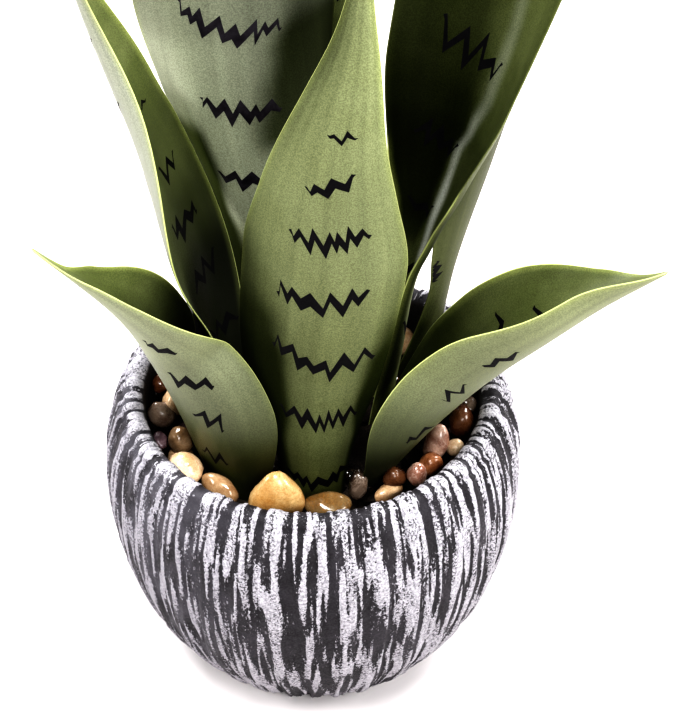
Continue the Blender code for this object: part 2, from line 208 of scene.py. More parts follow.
def bumped(wiring, shader, height, strength, distance):
    bump = wiring.add("ShaderNodeBump", named={
        "Strength": strength, "Distance": distance, "Height": height})
    wiring.join(bump, shader.inputs["Normal"])


def makeGrainGroup():
    # fine speckle that every finish uses at its own scale: a soft drift and a sharp grain
    tree = bpy.data.node_groups.new("speckle", "ShaderNodeTree")
    addSockets(tree, "INPUT", [("Place", "Vector", None), ("Grain Scale", "Float", 1500.0),
                               ("Drift Scale", "Float", 60.0)])
    addSockets(tree, "OUTPUT", [("Grain", "Float", None), ("Drift", "Float", None)])
    wiring = Wiring(tree)
    inputs = wiring.add("NodeGroupInput").outputs
    outputs = wiring.add("NodeGroupOutput").inputs
    grain = wiring.noise(inputs["Place"], inputs["Grain Scale"], 3.0, 0.65)
    drift = wiring.noise(inputs["Place"], inputs["Drift Scale"], 4.0, 0.55, 0.4)
    wiring.join(wiring.ramp(grain, 0.3, 0.7), outputs["Grain"])
    wiring.join(wiring.ramp(drift, 0.3, 0.7), outputs["Drift"])
    return tree


speckleGroup = makeGrainGroup()


def speckle(wiring, place, grainScale, driftScale):
    node = wiring.add("ShaderNodeGroup", node_tree=speckleGroup, named={
        "Place": place, "Grain Scale": grainScale, "Drift Scale": driftScale})
    return node.outputs["Grain"], node.outputs["Drift"]


leafFinish = {
    "outerFace": (0.178, 0.196, 0.104),
    "outerSheen": (0.203, 0.224, 0.124),
    # The hollow face's two greens are the outer ones darkened, which is painted shade.
    "innerFace": (0.078, 0.092, 0.034),
    "innerSheen": (0.120, 0.136, 0.060),
    # painted shade: the dark of the blade's foot and of its flanks
    "foot": (0.055, 0.062, 0.014),
    "flank": (0.022, 0.028, 0.007),
    # painted sheen that pales the outer face
    "outerPaintedSheen": (0.290, 0.305, 0.240),
    # painted shade deep in the hollow, with the share of it that shows
    "hollowShade": (0.010, 0.013, 0.002),
    "deepShare": 0.94,
    # painted highlight: a pale gloss streak along the hollow
    "band": (0.520, 0.540, 0.480),
    # painted light: the yellow glow of a backlit rim, with its width and share
    "rimGlow": (0.330, 0.370, 0.130),
    "glowWidth": 2.6,
    "glowShare": 0.4,
    # the rim's thin pale line: partly the leaf's own margin and partly painted backlight
    "rimLine": (0.560, 0.600, 0.270),
    "rimWidth": 0.35,
    "dullLine": 0.05,             # what is left of the rim's line where the rim doesn't glow
    "grainScale": 2600.0,
    "driftScale": 38.0,
    "fibres": (26.0, 2.5),        # how fast the fibres change across the blade and up it
    "fibreTint": (0.975, 1.02),
    "streaks": (5.0, 1.6),
    "streakTint": (0.90, 1.07),
    "grainTint": (0.80, 1.20),
    "roughness": 0.40,
    "roughSpread": (-0.06, 0.10),
    "flankRoughness": 0.45,       # how much rougher the flanks with painted shade are
    "bumpShare": 0.25,
    "bumpDepth": 0.08,
}

leafSheens = {"leafGreen": 0.32, "leafGreenMatt": 0.06}   # how strongly each finish reflects


def streaked(wiring, field, rates, detail, tint):
    # a tint that changes fast across the blade and slowly up it, on each face in its own way
    across, along = [wiring.times(field[label], rate)
                     for label, rate in zip(("across", "along"), rates)]
    streak = wiring.noise(wiring.combined(across, along, field["innerFace"]), 1.0, detail)
    return wiring.ramp(streak, 0.3, 0.7, *tint)


def makeLeafMaterial(name, sheen):
    look = leafFinish
    material, wiring, shader, place = newMaterial(
        name, look["roughness"], {"Specular IOR Level": sheen})
    field = {label: attributeOf(wiring, label)
             for label in ("across", "along", "rim", "foot", "flank", "deep", "pale", "band",
                           "glow", "tone", "innerFace")}
    grain, drift = speckle(wiring, place, look["grainScale"], look["driftScale"])
    outer = wiring.mixed(drift, look["outerFace"], look["outerSheen"])
    # painted sheen that pales the outer face where it catches the light
    outer = wiring.mixed(field["pale"], outer, look["outerPaintedSheen"])
    # painted shade at the blade's foot and on the flanks of its outer face
    outer = wiring.mixed(field["foot"], outer, look["foot"])
    outer = wiring.mixed(field["flank"], outer, look["flank"])
    # the hollow face in its darker greens, which are painted shade
    hollow = wiring.mixed(drift, look["innerFace"], look["innerSheen"])
    # painted shade deep in the hollow
    deep = wiring.times(field["deep"], look["deepShare"])
    hollow = wiring.mixed(deep, hollow, look["hollowShade"])
    # painted gloss streak along the hollow
    hollow = wiring.mixed(field["band"], hollow, look["band"])
    face = wiring.mixed(field["innerFace"], outer, hollow)
    # painted light: a yellow glow along the rims where they are backlit
    nearRim = wiring.ramp(field["rim"], look["glowWidth"] * mm, 0.0)
    glow = wiring.times(wiring.times(nearRim, field["glow"]), look["glowShare"])
    face = wiring.mixed(glow, face, look["rimGlow"])
    tint = wiring.times(streaked(wiring, field, look["fibres"], 3.0, look["fibreTint"]),
                        streaked(wiring, field, look["streaks"], 1.0, look["streakTint"]))
    tint = wiring.times(tint, wiring.ramp(grain, 0.0, 1.0, *look["grainTint"]))
    # the fibres, streaks and grain are the leaf's own; the keyed brightness multiplied in is painted
    # light and shade
    face = wiring.dimmed(face, wiring.times(tint, field["tone"]))
    # a thin pale line on the rims, partly the leaf's own margin and partly painted backlight, as it
    # almost fades where the rim doesn't glow
    line = wiring.ramp(field["rim"], look["rimWidth"] * mm, look["rimWidth"] * mm * 0.5)
    line = wiring.times(line, wiring.ramp(field["glow"], 0.0, 1.0, look["dullLine"], 1.0))
    wiring.join(wiring.mixed(line, face, look["rimLine"]), shader.inputs["Base Color"])
    rough = wiring.ramp(grain, 0.0, 1.0, *[look["roughness"] + more for more in look["roughSpread"]])
    rough = wiring.plus(rough, wiring.times(field["flank"], look["flankRoughness"]))
    wiring.join(rough, shader.inputs["Roughness"])
    bumped(wiring, shader, grain, look["bumpShare"], look["bumpDepth"] * mm)
    return material


# The zigzags' black, as two shades that drift into each other, and the dust of the grain on it.
paintInks = {
    "leafPaint": ((0.002, 0.002, 0.003), (0.006, 0.005, 0.007)),
    "leafPaintFaded": ((0.014, 0.011, 0.016), (0.046, 0.040, 0.050)),
}

paintFinish = {
    "dust": (0.016, 0.015, 0.014),
    "dustShare": 0.2,
    "sheen": 0.18,
    "roughness": (0.55, 0.7),
    "bumpShare": 0.2,
    "bumpDepth": 0.05,
}


def makePaintMaterial(name, inks):
    look = paintFinish
    material, wiring, shader, place = newMaterial(name, 0.6, {"Specular IOR Level": look["sheen"]})
    grain, drift = speckle(wiring, place, 1800.0, 200.0)
    dust = wiring.times(grain, look["dustShare"])
    ink = wiring.mixed(dust, wiring.mixed(drift, *inks), look["dust"])
    wiring.join(ink, shader.inputs["Base Color"])
    wiring.join(wiring.ramp(grain, 0.0, 1.0, *look["roughness"]), shader.inputs["Roughness"])
    bumped(wiring, shader, grain, look["bumpShare"], look["bumpDepth"] * mm)
    return material


# Leaves. route: the middle of the blade from its foot in the core to its tip. facing: where its
# hollow face looks to, as an azimuth. fold: half the angle of its channel. width: half its width
# round the channel. The last three are keyed by the fraction of the blade's length.
# Each row of marks on a face is (height up the blade, middle, half span, slope), measured on the
# flat blade, with its own tooth height, sag and tooth pitch after them where it has them. pen is
# how thick its strokes are. pale is how much a painted sheen pales the outer face. matt and
# faded choose the second leaf finish and the second paint. The other keys are told with leafShades.

leafShapes = {
    "leaf_front": {
        "route": [(1, -29, 62), (-1, -36, 98), (-1, -37, 139), (3, -38, 180), (6, -39, 216),
                  (13, -34, 253), (16, -28, 287)],
        "facing": [(0, 79), (1, 79)],
        "fold": [(0, 82), (0.12, 74), (0.33, 46), (0.55, 47), (1, 38)],
        "width": [(0, 10.6), (0.13, 13.3), (0.25, 18.4), (0.34, 23.3), (0.43, 25.5), (0.52, 26.3),
                  (0.63, 21.2), (0.77, 11.8), (0.9, 3.9), (1, 1.0)],
        "outerMarks": [(35.5, -3.5, 9.5, 0, 2.4, 2.5, 2.0), (63.5, -4, 11, 0, 2.7, 3.0, 1.9),
                       (87, -4.5, 14.5, 0, 3.3, 6.0), (110.5, -2, 12.5, -0.1, 2.8, 2.5),
                       (133, -2.5, 10.5, -0.2, 2.6, 2.0, 1.7), (151.5, -1.5, 6.5, -0.5, 1.7, 0.5),
                       (167, -2, 3.2, -0.2, 1.4, 1.6)],
        "innerMarks": [(52, 0, 9, 0), (80, 1, 12, 0), (106, 0, 13, 0), (132, -1, 11, 0),
                       (155, 0, 8, 0)],
        "foot": [(26, 0.95), (34, 0.80), (44, 0.62), (56, 0.46), (84, 0.30), (130, 0.0)],
        "leftShade": [(70, 0.98), (84, 0.97), (95, 0.9), (110, 0.48), (132, 0.08), (150, 0.10),
                      (170, 0.3), (192, 0.55)],
        "leftEdge": [(48, 0.38), (66, 0.22), (84, 0.24), (95, 0.36), (110, 0.55), (190, 0.4)],
        "leftSoft": [(48, 0.12), (66, 0.10), (76, 0.11), (84, 0.15), (95, 0.22), (110, 0.4),
                     (190, 0.5)],
        "rightShade": [(70, 1.0), (84, 1.0), (95, 0.95), (110, 0.5), (130, 0.15), (150, 0.0)],
        "rightEdge": [(50, 0.85), (68, 0.70), (84, 0.70), (95, 0.80), (110, 0.85)],
        "rightSoft": [(50, 0.08), (68, 0.08), (84, 0.16), (110, 0.3)],
        "slant": [(50, 0.2), (76, 0.4), (95, 0.3), (130, 0.15), (150, 0.1), (170, 0.2),
                  (190, 0.35)],
        "glow": [(88, 0.0), (100, 0.2), (112, 0.5), (150, 0.6)],
        "tone": [(36, 1.15), (52, 1.0), (66, 0.88), (84, 0.92), (100, 1.0), (130, 1.05),
                 (180, 1.06), (215, 0.96)],
        "pen": 1.15,
        "matt": 1,
    },
    "leaf_low_left": {
        "route": [(-21, -30, 62), (-30, -28, 91), (-38, -29, 118), (-46, -32, 143),
                  (-55, -36.5, 166), (-75, -38, 190)],
        "facing": [(0, 43), (0.5, 35), (1, 20)],
        "fold": [(0, 80), (0.25, 56), (0.6, 110), (0.85, 44), (1, 20)],
        "width": [(0, 9), (0.2, 20), (0.42, 32), (0.65, 26.5), (0.83, 14), (0.92, 3.5), (1, 1.0)],
        "outerMarks": [(43, -6.5, 4.2, 0.3, 2.6, 0), (62, -12.5, 4.6, 0.6, 3.0, 0),
                       (79, -12.5, 6.2, 0.5, 2.6, 0), (98, -11.3, 4.2, 0.6, 1.6, 0, 1.8),
                       (36, 16, 6, -0.8), (58, 19, 8, -0.8), (80, 15, 6, -0.8)],
        "innerMarks": [(62, 8, 8, 0), (76, 10, 6, 0)],
        "foot": [(38, 0.93), (82, 0.0)],
        "leftShade": [(40, 0.4), (56, 0.0)],
        "rightShade": [(30, 0.5), (50, 0.0)],
        "deep": [(55, 1.0), (92, 0.0)],
        "slant": [(50, -0.2), (70, -0.1), (80, 0.0)],
        "tone": [(52, 0.86), (70, 0.85), (82, 0.95), (95, 1.2), (125, 1.3)],
        "hollowTone": [(80, 1.0), (98, 1.45), (125, 1.9)],
        "pale": 0.25,
        "pen": 1.3,
    },
    "leaf_low_right": {
        "route": [(21, -27, 62), (24, -20, 85), (51, -27, 129), (78, -35, 162), (100, -37, 181)],
        "facing": [(0, 175), (0.5, 156), (1, 152)],
        "fold": [(0, 87), (0.25, 56), (0.6, 92), (0.85, 54), (1, 25)],
        "width": [(0, 8.1), (0.2, 19.8), (0.42, 33.2), (0.65, 30.1), (0.85, 18.1), (1, 1.0)],
        "outerMarks": [(58.5, 15, 4.4, -0.8, 2.2, 0), (80, 16.3, 4.4, -3.6, 2.5, 0),
                       (100, 16.3, 5.6, -3.4, 1.8, 0), (36, -15, 7, 0.9), (58, -11, 7, 1.2),
                       (80, -9, 6, 1.2)],
        "innerMarks": [(64, -14, 6, 0), (86, -17, 4, 0), (100, -12, 4, 0)],
        "foot": [(34, 0.93), (74, 0.0)],
        "leftShade": [(42, 0.8), (58, 0.5), (80, 0.0)],
        "leftEdge": [(0, 0.45)],
        "leftSoft": [(0, 0.25)],
        "rightShade": [(40, 0.3), (60, 0.0)],
        "deep": [(55, 0.95), (95, 0.0)],
        "tone": [(38, 0.80), (54, 0.85), (72, 0.86), (88, 0.95), (120, 1.3)],
        "hollowTone": [(60, 1.5), (110, 1.15)],
        "pen": 1.15,
    },
    "leaf_low_back": {
        "route": [(-6, 47, 62), (-6, 50, 97), (-3, 57, 130), (4, 68, 158), (14, 88, 180)],
        "facing": [(0, -92), (0.5, -100), (1, -100)],
        "fold": [(0, 82), (0.25, 60), (0.6, 85), (0.85, 45), (1, 30)],
        "width": [(0, 9), (0.2, 18), (0.42, 31), (0.65, 27), (0.85, 13), (1, 1.0)],
        "outerMarks": [(40, 2, 8, 0.2), (58, 1, 10, 0.2), (77, 0, 10, 0.2), (95, 0, 7, 0.2)],
        "innerMarks": [(60, 0, 9, 0), (80, 0, 9, 0), (98, 0, 6, 0)],
    },
    "leaf_mid_left": {
        "route": [(-21, -10, 62), (-28, -7, 107), (-36, -3, 151), (-46, -3, 194), (-59, 0, 236),
                  (-67, -8, 285)],
        "facing": [(0, -14), (1, 10)],
        "fold": [(0, 80), (0.18, 75), (0.51, 21), (0.81, 61), (1, 47)],
        "width": [(0, 9.8), (0.17, 11.2), (0.51, 29), (0.66, 22), (0.86, 5.8), (1, 1.0)],
        "outerMarks": [(60, 0, 9, 0), (85, 1, 13, 0), (110, 0, 15, 0), (134, -1, 12, 0),
                       (156, 0, 8, 0), (176, 0, 4, 0)],
        "innerMarks": [(66, 8, 6, 0), (86, 8, 8, 0, 3.2, 1, 3.4), (105, 7, 10, -0.35, 2.8, 1, 3.4),
                       (123, 11.5, 6, -0.3, 3.0, 1, 3.0), (146, 13, 1.6, 0, 1.2, 0),
                       (198, 6, 4, 0)],
        "deep": [(86, 1.0), (104, 0.55), (125, 0.0)],
        "leftShade": [(70, 0.8), (130, 0.0)],
        "rightShade": [(70, 0.8), (130, 0.0)],
        "tone": [(90, 0.3), (110, 0.55), (125, 0.84), (150, 1.0)],
        "hollowTone": [(84, 0.5), (100, 0.9), (135, 1.15), (160, 1.7), (185, 1.9)],
        "pale": 0.9,
        "pen": 1.1,
    },
    "leaf_mid_right": {
        "route": [(25, 24, 62), (38, 27, 97), (46, 31, 136), (57, 35, 178), (70, 39, 220),
                  (76, 44, 264)],
        "facing": [(0, 152), (0.15, 139), (0.35, 151), (1, 147)],
        "fold": [(0, 78), (0.08, 49), (0.38, 24), (0.69, 34), (1, 40)],
        "width": [(0, 9), (0.15, 8.1), (0.28, 7.6), (0.36, 12.4), (0.49, 19), (0.64, 15.5),
                  (0.84, 8.5), (1, 1.0)],
        "outerMarks": [(69, 8.6, 4.6, 2.6, 1.3, 0, 2.0), (144, -4, 5, 0), (162, -2, 4, 0)],
        "innerMarks": [(66, 6, 6, 0), (80, 8, 6, 0), (104, 2, 10, 0), (126, 1, 9, 0),
                       (146, 0, 7, 0)],
        "foot": [(30, 0.7), (48, 0.5), (80, 0.45), (120, 0.4)],
        "leftShade": [(44, 1.0), (52, 0.6), (60, 0.3), (110, 0.3)],
        "leftEdge": [(0, 0.40)],
        "leftSoft": [(0, 0.45)],
        "rightShade": [(0, 0.0)],
        "tone": [(40, 0.78), (58, 0.8), (80, 0.78), (100, 0.66), (120, 0.62)],
        "glow": [(80, 0.2), (120, 0.5)],
        "slant": [(0, -0.5)],
        "matt": 1,
        "pen": 1.8,
    },
    "leaf_tall_left": {
        "route": [(-10, 15, 62), (-13, 19, 117), (-15, 21, 175), (-19, 22, 236), (-22, 23, 301),
                  (-25, 25, 397)],
        "facing": [(0, 94), (1, 109)],
        "fold": [(0, 80), (0.09, 80), (0.35, 84), (0.62, 16), (1, 45)],
        "width": [(0, 10.5), (0.1, 11.5), (0.2, 16.3), (0.3, 24.5), (0.39, 36), (0.52, 32),
                  (0.78, 16), (0.93, 5), (1, 1.0)],
        "outerMarks": [(60, 0, 9, 0), (107, 4, 9, 0, 2.2, 1.5),
                       (132, 4, 11.5, 0.15, 2.2, 1.5), (161, 4.5, 15, 0.34, 2.6, 5.0),
                       (184, 1, 15, 0), (210, 0, 12, 0), (234, -1, 9, 0), (256, 0, 6, 0),
                       (276, 0, 3.5, 0)],
        "innerMarks": [(70, 0, 9, 0), (98, 0, 12, 0), (126, 1, 15, 0), (154, 0, 16, 0),
                       (182, -1, 14, 0), (208, 0, 11, 0), (232, 0, 8, 0), (254, 0, 5, 0)],
        "pale": 0.8,
        "pen": 1.1,
        "faded": 1,
        "foot": [(78, 0.85), (94, 0.0)],
        "leftShade": [(95, 1.0), (120, 1.0), (130, 0.62), (140, 0.32), (155, 0.18)],
        "leftEdge": [(75, 0.34), (84, 0.40), (95, 0.50), (110, 0.47), (120, 0.48), (130, 0.52),
                     (150, 0.8)],
        "leftSoft": [(75, 0.12), (90, 0.10), (110, 0.09), (120, 0.08), (135, 0.12), (150, 0.3)],
        "rightShade": [(112, 0.0), (122, 0.9), (155, 0.95), (168, 0.5)],
        "rightEdge": [(125, 0.0), (135, 0.08), (150, 0.18), (165, 0.4)],
        "rightSoft": [(0, 0.16)],
        "slant": [(90, -0.1), (120, -0.3), (150, -0.35)],
        "tone": [(75, 1.0), (90, 1.25), (105, 1.5), (120, 1.45), (135, 1.15), (150, 1.06),
                 (162, 0.84)],
        "glow": [(100, 0.0), (150, 0.5)],
        "matt": 1,
    },
    "leaf_tall_right": {
        "route": [(21, 2, 62), (27.5, 8, 108), (31.2, 10, 139), (37.2, 12, 160), (47.8, 14, 208),
                  (56, 15, 260), (68, 15, 314), (74, 12, 369)],
        "facing": [(0, -185), (0.5, -133), (1, -126)],
        "fold": [(0, 80), (0.12, 90), (0.4, 84), (0.7, 33), (1, 45)],
        "width": [(0, 9.5), (0.12, 10), (0.25, 8.6), (0.32, 13.2), (0.38, 20.8), (0.5, 28.8),
                  (0.65, 28), (0.85, 12), (1, 1.0)],
        "outerMarks": [(62, 0, 5, 0), (90, 0, 6, 0), (118, -3, 6, 0), (146, -5, 8, 0),
                       (174, -5, 10, 0), (202, -3, 11, 0), (228, 0, 11, 0), (252, 0, 8, 0),
                       (272, 0, 4, 0)],
        "innerMarks": [(80, -4, 4, 0), (102, -6, 4, 0), (127, -7, 6.5, -0.25, 3.6, 0),
                       (160, -3.5, 11, -0.22, 4.8, 0, 2.8), (188, 1, 12, 0), (212, 0, 12, 0),
                       (237, 0, 9, 0), (260, 0, 5, 0)],
        "foot": [(30, 0.95), (42, 0.6), (56, 0.0)],
        "deep": [(84, 0.0), (92, 0.8), (100, 1.0), (125, 1.0), (142, 0.96), (156, 0.84),
                 (175, 0.72), (210, 0.6)],
        "deepEdge": [(90, -0.30), (105, -0.10), (120, -0.05), (135, 0.10), (150, 0.12),
                     (180, 0.10)],
        "deepSoft": [(90, 0.10), (105, 0.16), (120, 0.08), (135, 0.10), (150, 0.18),
                     (180, 0.34)],
        "band": [(70, 0.6), (78, 1.0), (112, 1.0), (122, 0.75), (134, 0.5), (148, 0.25),
                 (180, 0.15)],
        "bandMiddle": [(80, 0.30), (89, 0.05), (98, 0.0), (113, 0.05), (126, 0.05), (136, 0.15),
                       (150, 0.25), (177, 0.36)],
        "bandWidth": [(80, 0.34), (90, 0.22), (105, 0.18), (120, 0.11), (134, 0.10), (148, 0.14),
                      (177, 0.16)],
        "glow": [(60, 1.0), (118, 0.9), (130, 0.1)],
        "hollowTone": [(70, 1.3), (88, 0.7), (105, 0.8), (118, 0.7), (132, 0.66), (140, 0.85),
                       (165, 0.95)],
        "pen": 1.5,
        "matt": 1,
    },
    "leaf_tall_back": {
        "route": [(2, 36, 62), (0, 39, 92), (-3, 49, 150), (-5, 55, 220), (-5, 57, 280),
                  (-4, 55, 340)],
        "facing": [(0, -90), (1, -90)],
        "fold": [(0, 80), (0.1, 80), (0.4, 60), (0.7, 50), (1, 45)],
        "width": [(0, 10), (0.15, 11), (0.5, 24), (0.65, 21), (0.85, 10), (1, 1.0)],
        "outerMarks": [(60, 0, 8, 0), (86, 1, 10, 0), (112, 0, 12, 0), (138, -1, 14, 0),
                       (164, 0, 13, 0), (188, 1, 10, 0), (210, 0, 7, 0), (230, 0, 4, 0)],
        "innerMarks": [(74, 0, 8, 0), (100, 0, 11, 0), (126, 0, 13, 0), (152, 1, 13, 0),
                       (177, 0, 11, 0), (200, 0, 8, 0), (220, 0, 5, 0)],
    },
}

leafBuild = {
    "stations": 161,          # rows up the blade
    "columns": 65,            # points across it
    "routeSamples": 200,
    "thicknessFoot": 1.4,
    "thicknessMiddle": 1.0,
    "thicknessTip": 0.7,
    "rimRound": 0.28,
    "rimThinning": 0.5,       # share of its thickness that the blade loses from middle to rims
    "tipRound": 0.012,        # share of the length over which the tip closes
    "tangentReach": 0.012,    # share of the length over which the blade's direction is taken
    "wave": 0.35,
    "waveSize": 38.0,
}

markBuild = {
    "toothPitch": 2.5,        # from a peak of the zigzag to the next low
    "toothHeight": 2.4,
    "penMiddle": 1.95,        # half the stroke's height
    "penEnd": 0.75,
    "penChange": (0.7, 1.25),
    "toothChange": (0.35, 1.35),
    "pitchChange": (0.5, 1.45),
    "sag": 2.2,               # how far a row of 15 mm half span bends
    "endReach": 0.9,          # how far the stroke's tips run out past the row
    "endRise": 0.5,
    "lift": 0.05,
    "depth": 0.12,
    "innerShift": 200.0,      # the hollow face lies this far aside on the flat blade
    "seed": 20,
}

# What a blade's painted light and shade follow up its length, as (distance up the blade, value),
# for leaves without their own. foot: share of the painted shade at the foot. leftShade and
# rightShade: share of the painted shade on the flanks of the outer face, with the places across the
# blade (-1 to 1) where they end and how softly. deep: the same for the painted shade deep in the
# hollow. band: the same for the painted gloss streak in the hollow. glow: the painted
# backlit glow of the rim. tone and hollowTone: painted light and shade as the
# brightness of the two faces, which slant tips sideways.
leafShades = {
    "foot": [(34, 0.9), (92, 0.0)],
    "leftShade": [(85, 0.9), (150, 0.0)],
    "leftEdge": [(0, 0.54)],
    "leftSoft": [(0, 0.18)],
    "rightShade": [(60, 0.9), (110, 0.0)],
    "rightEdge": [(0, 0.54)],
    "rightSoft": [(0, 0.18)],
    "deep": [(60, 1.0), (120, 0.0)],
    "deepEdge": [(0, 3.0)],
    "deepSoft": [(0, 0.25)],
    "band": [(0, 0.0)],
    "bandMiddle": [(0, 0.0)],
    "bandWidth": [(0, 0.15)],
    "glow": [(45, 0.0), (85, 1.0)],
    "tone": [(0, 1.0)],
    "slant": [(0, 0.0)],
    "hollowTone": [(0, 1.0)],
}


def through(points, fraction):
    # the place at a fraction of the way along a smooth curve through the points
    first, last = Vector(points[0]), Vector(points[-1])
    before = 2 * first - Vector(points[1])
    after = 2 * last - Vector(points[-2])
    padded = [before, *[Vector(point) for point in points], after]
    stretch = fraction * (len(points) - 1)
    index = min(max(int(math.floor(stretch)), 0), len(points) - 2)
    f = stretch - index
    a, b, c, d = padded[index:index + 4]
    return 0.5 * (2 * b + (c - a) * f + (2 * a - 5 * b + 4 * c - d) * f * f
                  + (3 * b - a - 3 * c + d) * f ** 3)


def eased(knots, fraction):
    for (start, low), (end, high) in zip(knots, knots[1:]):
        if fraction <= end:
            f = max(0.0, (fraction - start) / (end - start))
            return low + (high - low) * f * f * (3 - 2 * f)
    return knots[-1][1]


def monotone(knots, fraction):
    # a keyed value on a smooth curve that doesn't overshoot its keys
    slopes = [(high - low) / (end - start) for (start, low), (end, high) in zip(knots, knots[1:])]
    tangents = [slopes[0]]
    for left, right in zip(slopes, slopes[1:]):
        tangents.append(0.0 if left * right <= 0 else 2 * left * right / (left + right))
    tangents.append(slopes[-1])
    index = 0
    while index < len(knots) - 2 and fraction > knots[index + 1][0]:
        index += 1
    start, low = knots[index]
    end, high = knots[index + 1]
    span = end - start
    f = min(1.0, max(0.0, (fraction - start) / span))
    return ((2 * f ** 3 - 3 * f * f + 1) * low + (f ** 3 - 2 * f * f + f) * span * tangents[index]
            + (3 * f * f - 2 * f ** 3) * high + (f ** 3 - f * f) * span * tangents[index + 1])


def routeStations(shape, samples):
    # the blade's middle line as evenly spaced places, with its length
    places = [through(shape["route"], i / (samples - 1)) for i in range(samples)]
    lengths = [0.0]
    for here, there in zip(places, places[1:]):
        lengths.append(lengths[-1] + (there - here).length)

    def spine(fraction):
        wanted = fraction * lengths[-1]
        if wanted <= 0:
            return places[0] + (places[1] - places[0]).normalized() * wanted
        index = 0
        while index < samples - 2 and lengths[index + 1] < wanted:
            index += 1
        step = lengths[index + 1] - lengths[index]
        return places[index].lerp(places[index + 1], (wanted - lengths[index]) / step)

    return spine, lengths[-1]


stationFields = ["fold", "halfWidth", "bladeThickness", "station", "fraction", "paleTone",
                 *[label + "Tone" for label in leafShades]]


def makeSpine(name, shape):
    # a line of points up the blade that carries what the leaf tree needs at each station
    build = leafBuild
    spine, length = routeStations(shape, build["routeSamples"])
    count = build["stations"]
    nudge = build["tangentReach"]
    thickness = [(0, build["thicknessFoot"]), (0.35, build["thicknessMiddle"]),
                 (1, build["thicknessTip"])]
    rows = []
    for i in range(count):
        along = i / (count - 1)
        tangent = (spine(min(along + nudge, 1.0)) - spine(along - nudge)).normalized()
        azimuth = math.radians(eased(shape["facing"], along))
        hollow = Vector((math.cos(azimuth), math.sin(azimuth), 0.0))
        hollow = (hollow - hollow.dot(tangent) * tangent).normalized()
        width = monotone(shape["width"], along)
        tipLeft = (1.0 - along) / build["tipRound"]
        if tipLeft < 1:
            width *= math.sqrt(max(0.02, 1 - (1 - tipLeft) ** 2))
        closed = 0.0 if i in (0, count - 1) else 1.0
        shades = [eased(shape.get(label, keys), along * length)
                  for label, keys in leafShades.items()]
        rows.append((spine(along) * mm, hollow, tangent.cross(hollow),
                     math.radians(eased(shape["fold"], along)), width * mm,
                     eased(thickness, along) * mm * closed, along * length * mm, along,
                     shape.get("pale", 0.0), *shades))
    mesh = bpy.data.meshes.new(name)
    mesh.from_pydata([row[0] for row in rows], [(i, i + 1) for i in range(count - 1)], [])
    for column, label in ((1, "hollow"), (2, "sideways")):
        attribute = mesh.attributes.new(label, "FLOAT_VECTOR", "POINT")
        attribute.data.foreach_set("vector", [value for row in rows for value in row[column]])
    for column, label in enumerate(stationFields, 3):
        attribute = mesh.attributes.new(label, "FLOAT", "POINT")
        attribute.data.foreach_set("value", [row[column] for row in rows])
    return newObject(name, mesh)


def zigzagRow(bm, dice, shift, stroke, height, middle, halfSpan, slope, teeth=None, sag=None,
              pitch=None):
    # one painted row on the flat blade: an uneven zigzag, heavier in its middle than at its ends
    build = markBuild
    teeth = build["toothHeight"] if teeth is None else teeth
    sag = build["sag"] * halfSpan / 15 if sag is None else sag
    pitch = build["toothPitch"] if pitch is None else pitch
    stroke *= min(1.0, 0.32 + halfSpan / 16)   # short rows are drawn finer
    lean = math.hypot(1.0, slope)
    side = dice.choice((-1, 1))
    x = -halfSpan
    tops, bottoms = [], []

    def onBlade(run, rise):
        return (middle + (run - rise * slope) / lean, height + (run * slope + rise) / lean)

    while True:
        share = x / halfSpan
        reach = side * teeth * dice.uniform(*build["toothChange"]) * (1 - 0.3 * abs(share))
        pen = build["penEnd"] + (build["penMiddle"] - build["penEnd"]) * (1 - share ** 4)
        pen *= stroke * dice.uniform(*build["penChange"]) * min(1.0, 0.35 + teeth / 3)
        rise = sag * (share * share - 0.35) + reach
        tops.append(onBlade(x, rise + pen))
        bottoms.append(onBlade(x, rise - pen))
        if x >= halfSpan:
            break
        x = min(halfSpan, x + pitch * dice.uniform(*build["pitchChange"]))
        side = -side
    ends = [((top[0] + low[0]) / 2 + way * build["endReach"],
             (top[1] + low[1]) / 2 + build["endRise"])
            for top, low, way in ((tops[0], bottoms[0], -1), (tops[-1], bottoms[-1], 1))]
    upper, lower, tips = [[bm.verts.new(((px + shift) * mm, py * mm, 0.0)) for px, py in line]
                          for line in (tops, bottoms, ends)]
    bm.faces.new((tips[0], lower[0], upper[0]))
    for i in range(len(upper) - 1):
        bm.faces.new((lower[i], lower[i + 1], upper[i + 1], upper[i]))
    bm.faces.new((lower[-1], tips[1], upper[-1]))


def makeFlatMarks(name, shape, seed):
    dice = random.Random(seed)
    bm = bmesh.new()
    for face, shift in (("outerMarks", 0.0), ("innerMarks", markBuild["innerShift"])):
        for row in shape[face]:
            zigzagRow(bm, dice, shift, shape.get("pen", 1.0), *row)
    return newObject(name, meshOf(name, bm))


leafNumbers = {
    "Columns": leafBuild["columns"],
    "Rim Round": leafBuild["rimRound"] * mm,
    "Wave": leafBuild["wave"] * mm,
    "Wave Size": leafBuild["waveSize"] * mm,
    "Mark Lift": markBuild["lift"] * mm,
    "Mark Depth": markBuild["depth"] * mm,
}


def bladeGrid(w, inputs):
    # a flat grid with a row for each station and columns that stand closer toward the rims
    rows = w.add("GeometryNodeAttributeDomainSize", inputs["Spine"]).outputs["Point Count"]
    grid = w.add("GeometryNodeMeshGrid", 2.0, 1.0, inputs["Columns"], rows).outputs["Mesh"]
    flat = w.parts(w.add("GeometryNodeInputPosition"))
    along = w.plus(flat[1], 0.5)
    row = w.calc("ROUND", w.times(along, w.minus(rows, 1.0)))
    grid = stored(w, grid, "row", row)
    return stored(w, grid, "across", w.calc("SINE", w.times(flat[0], math.pi / 2)))


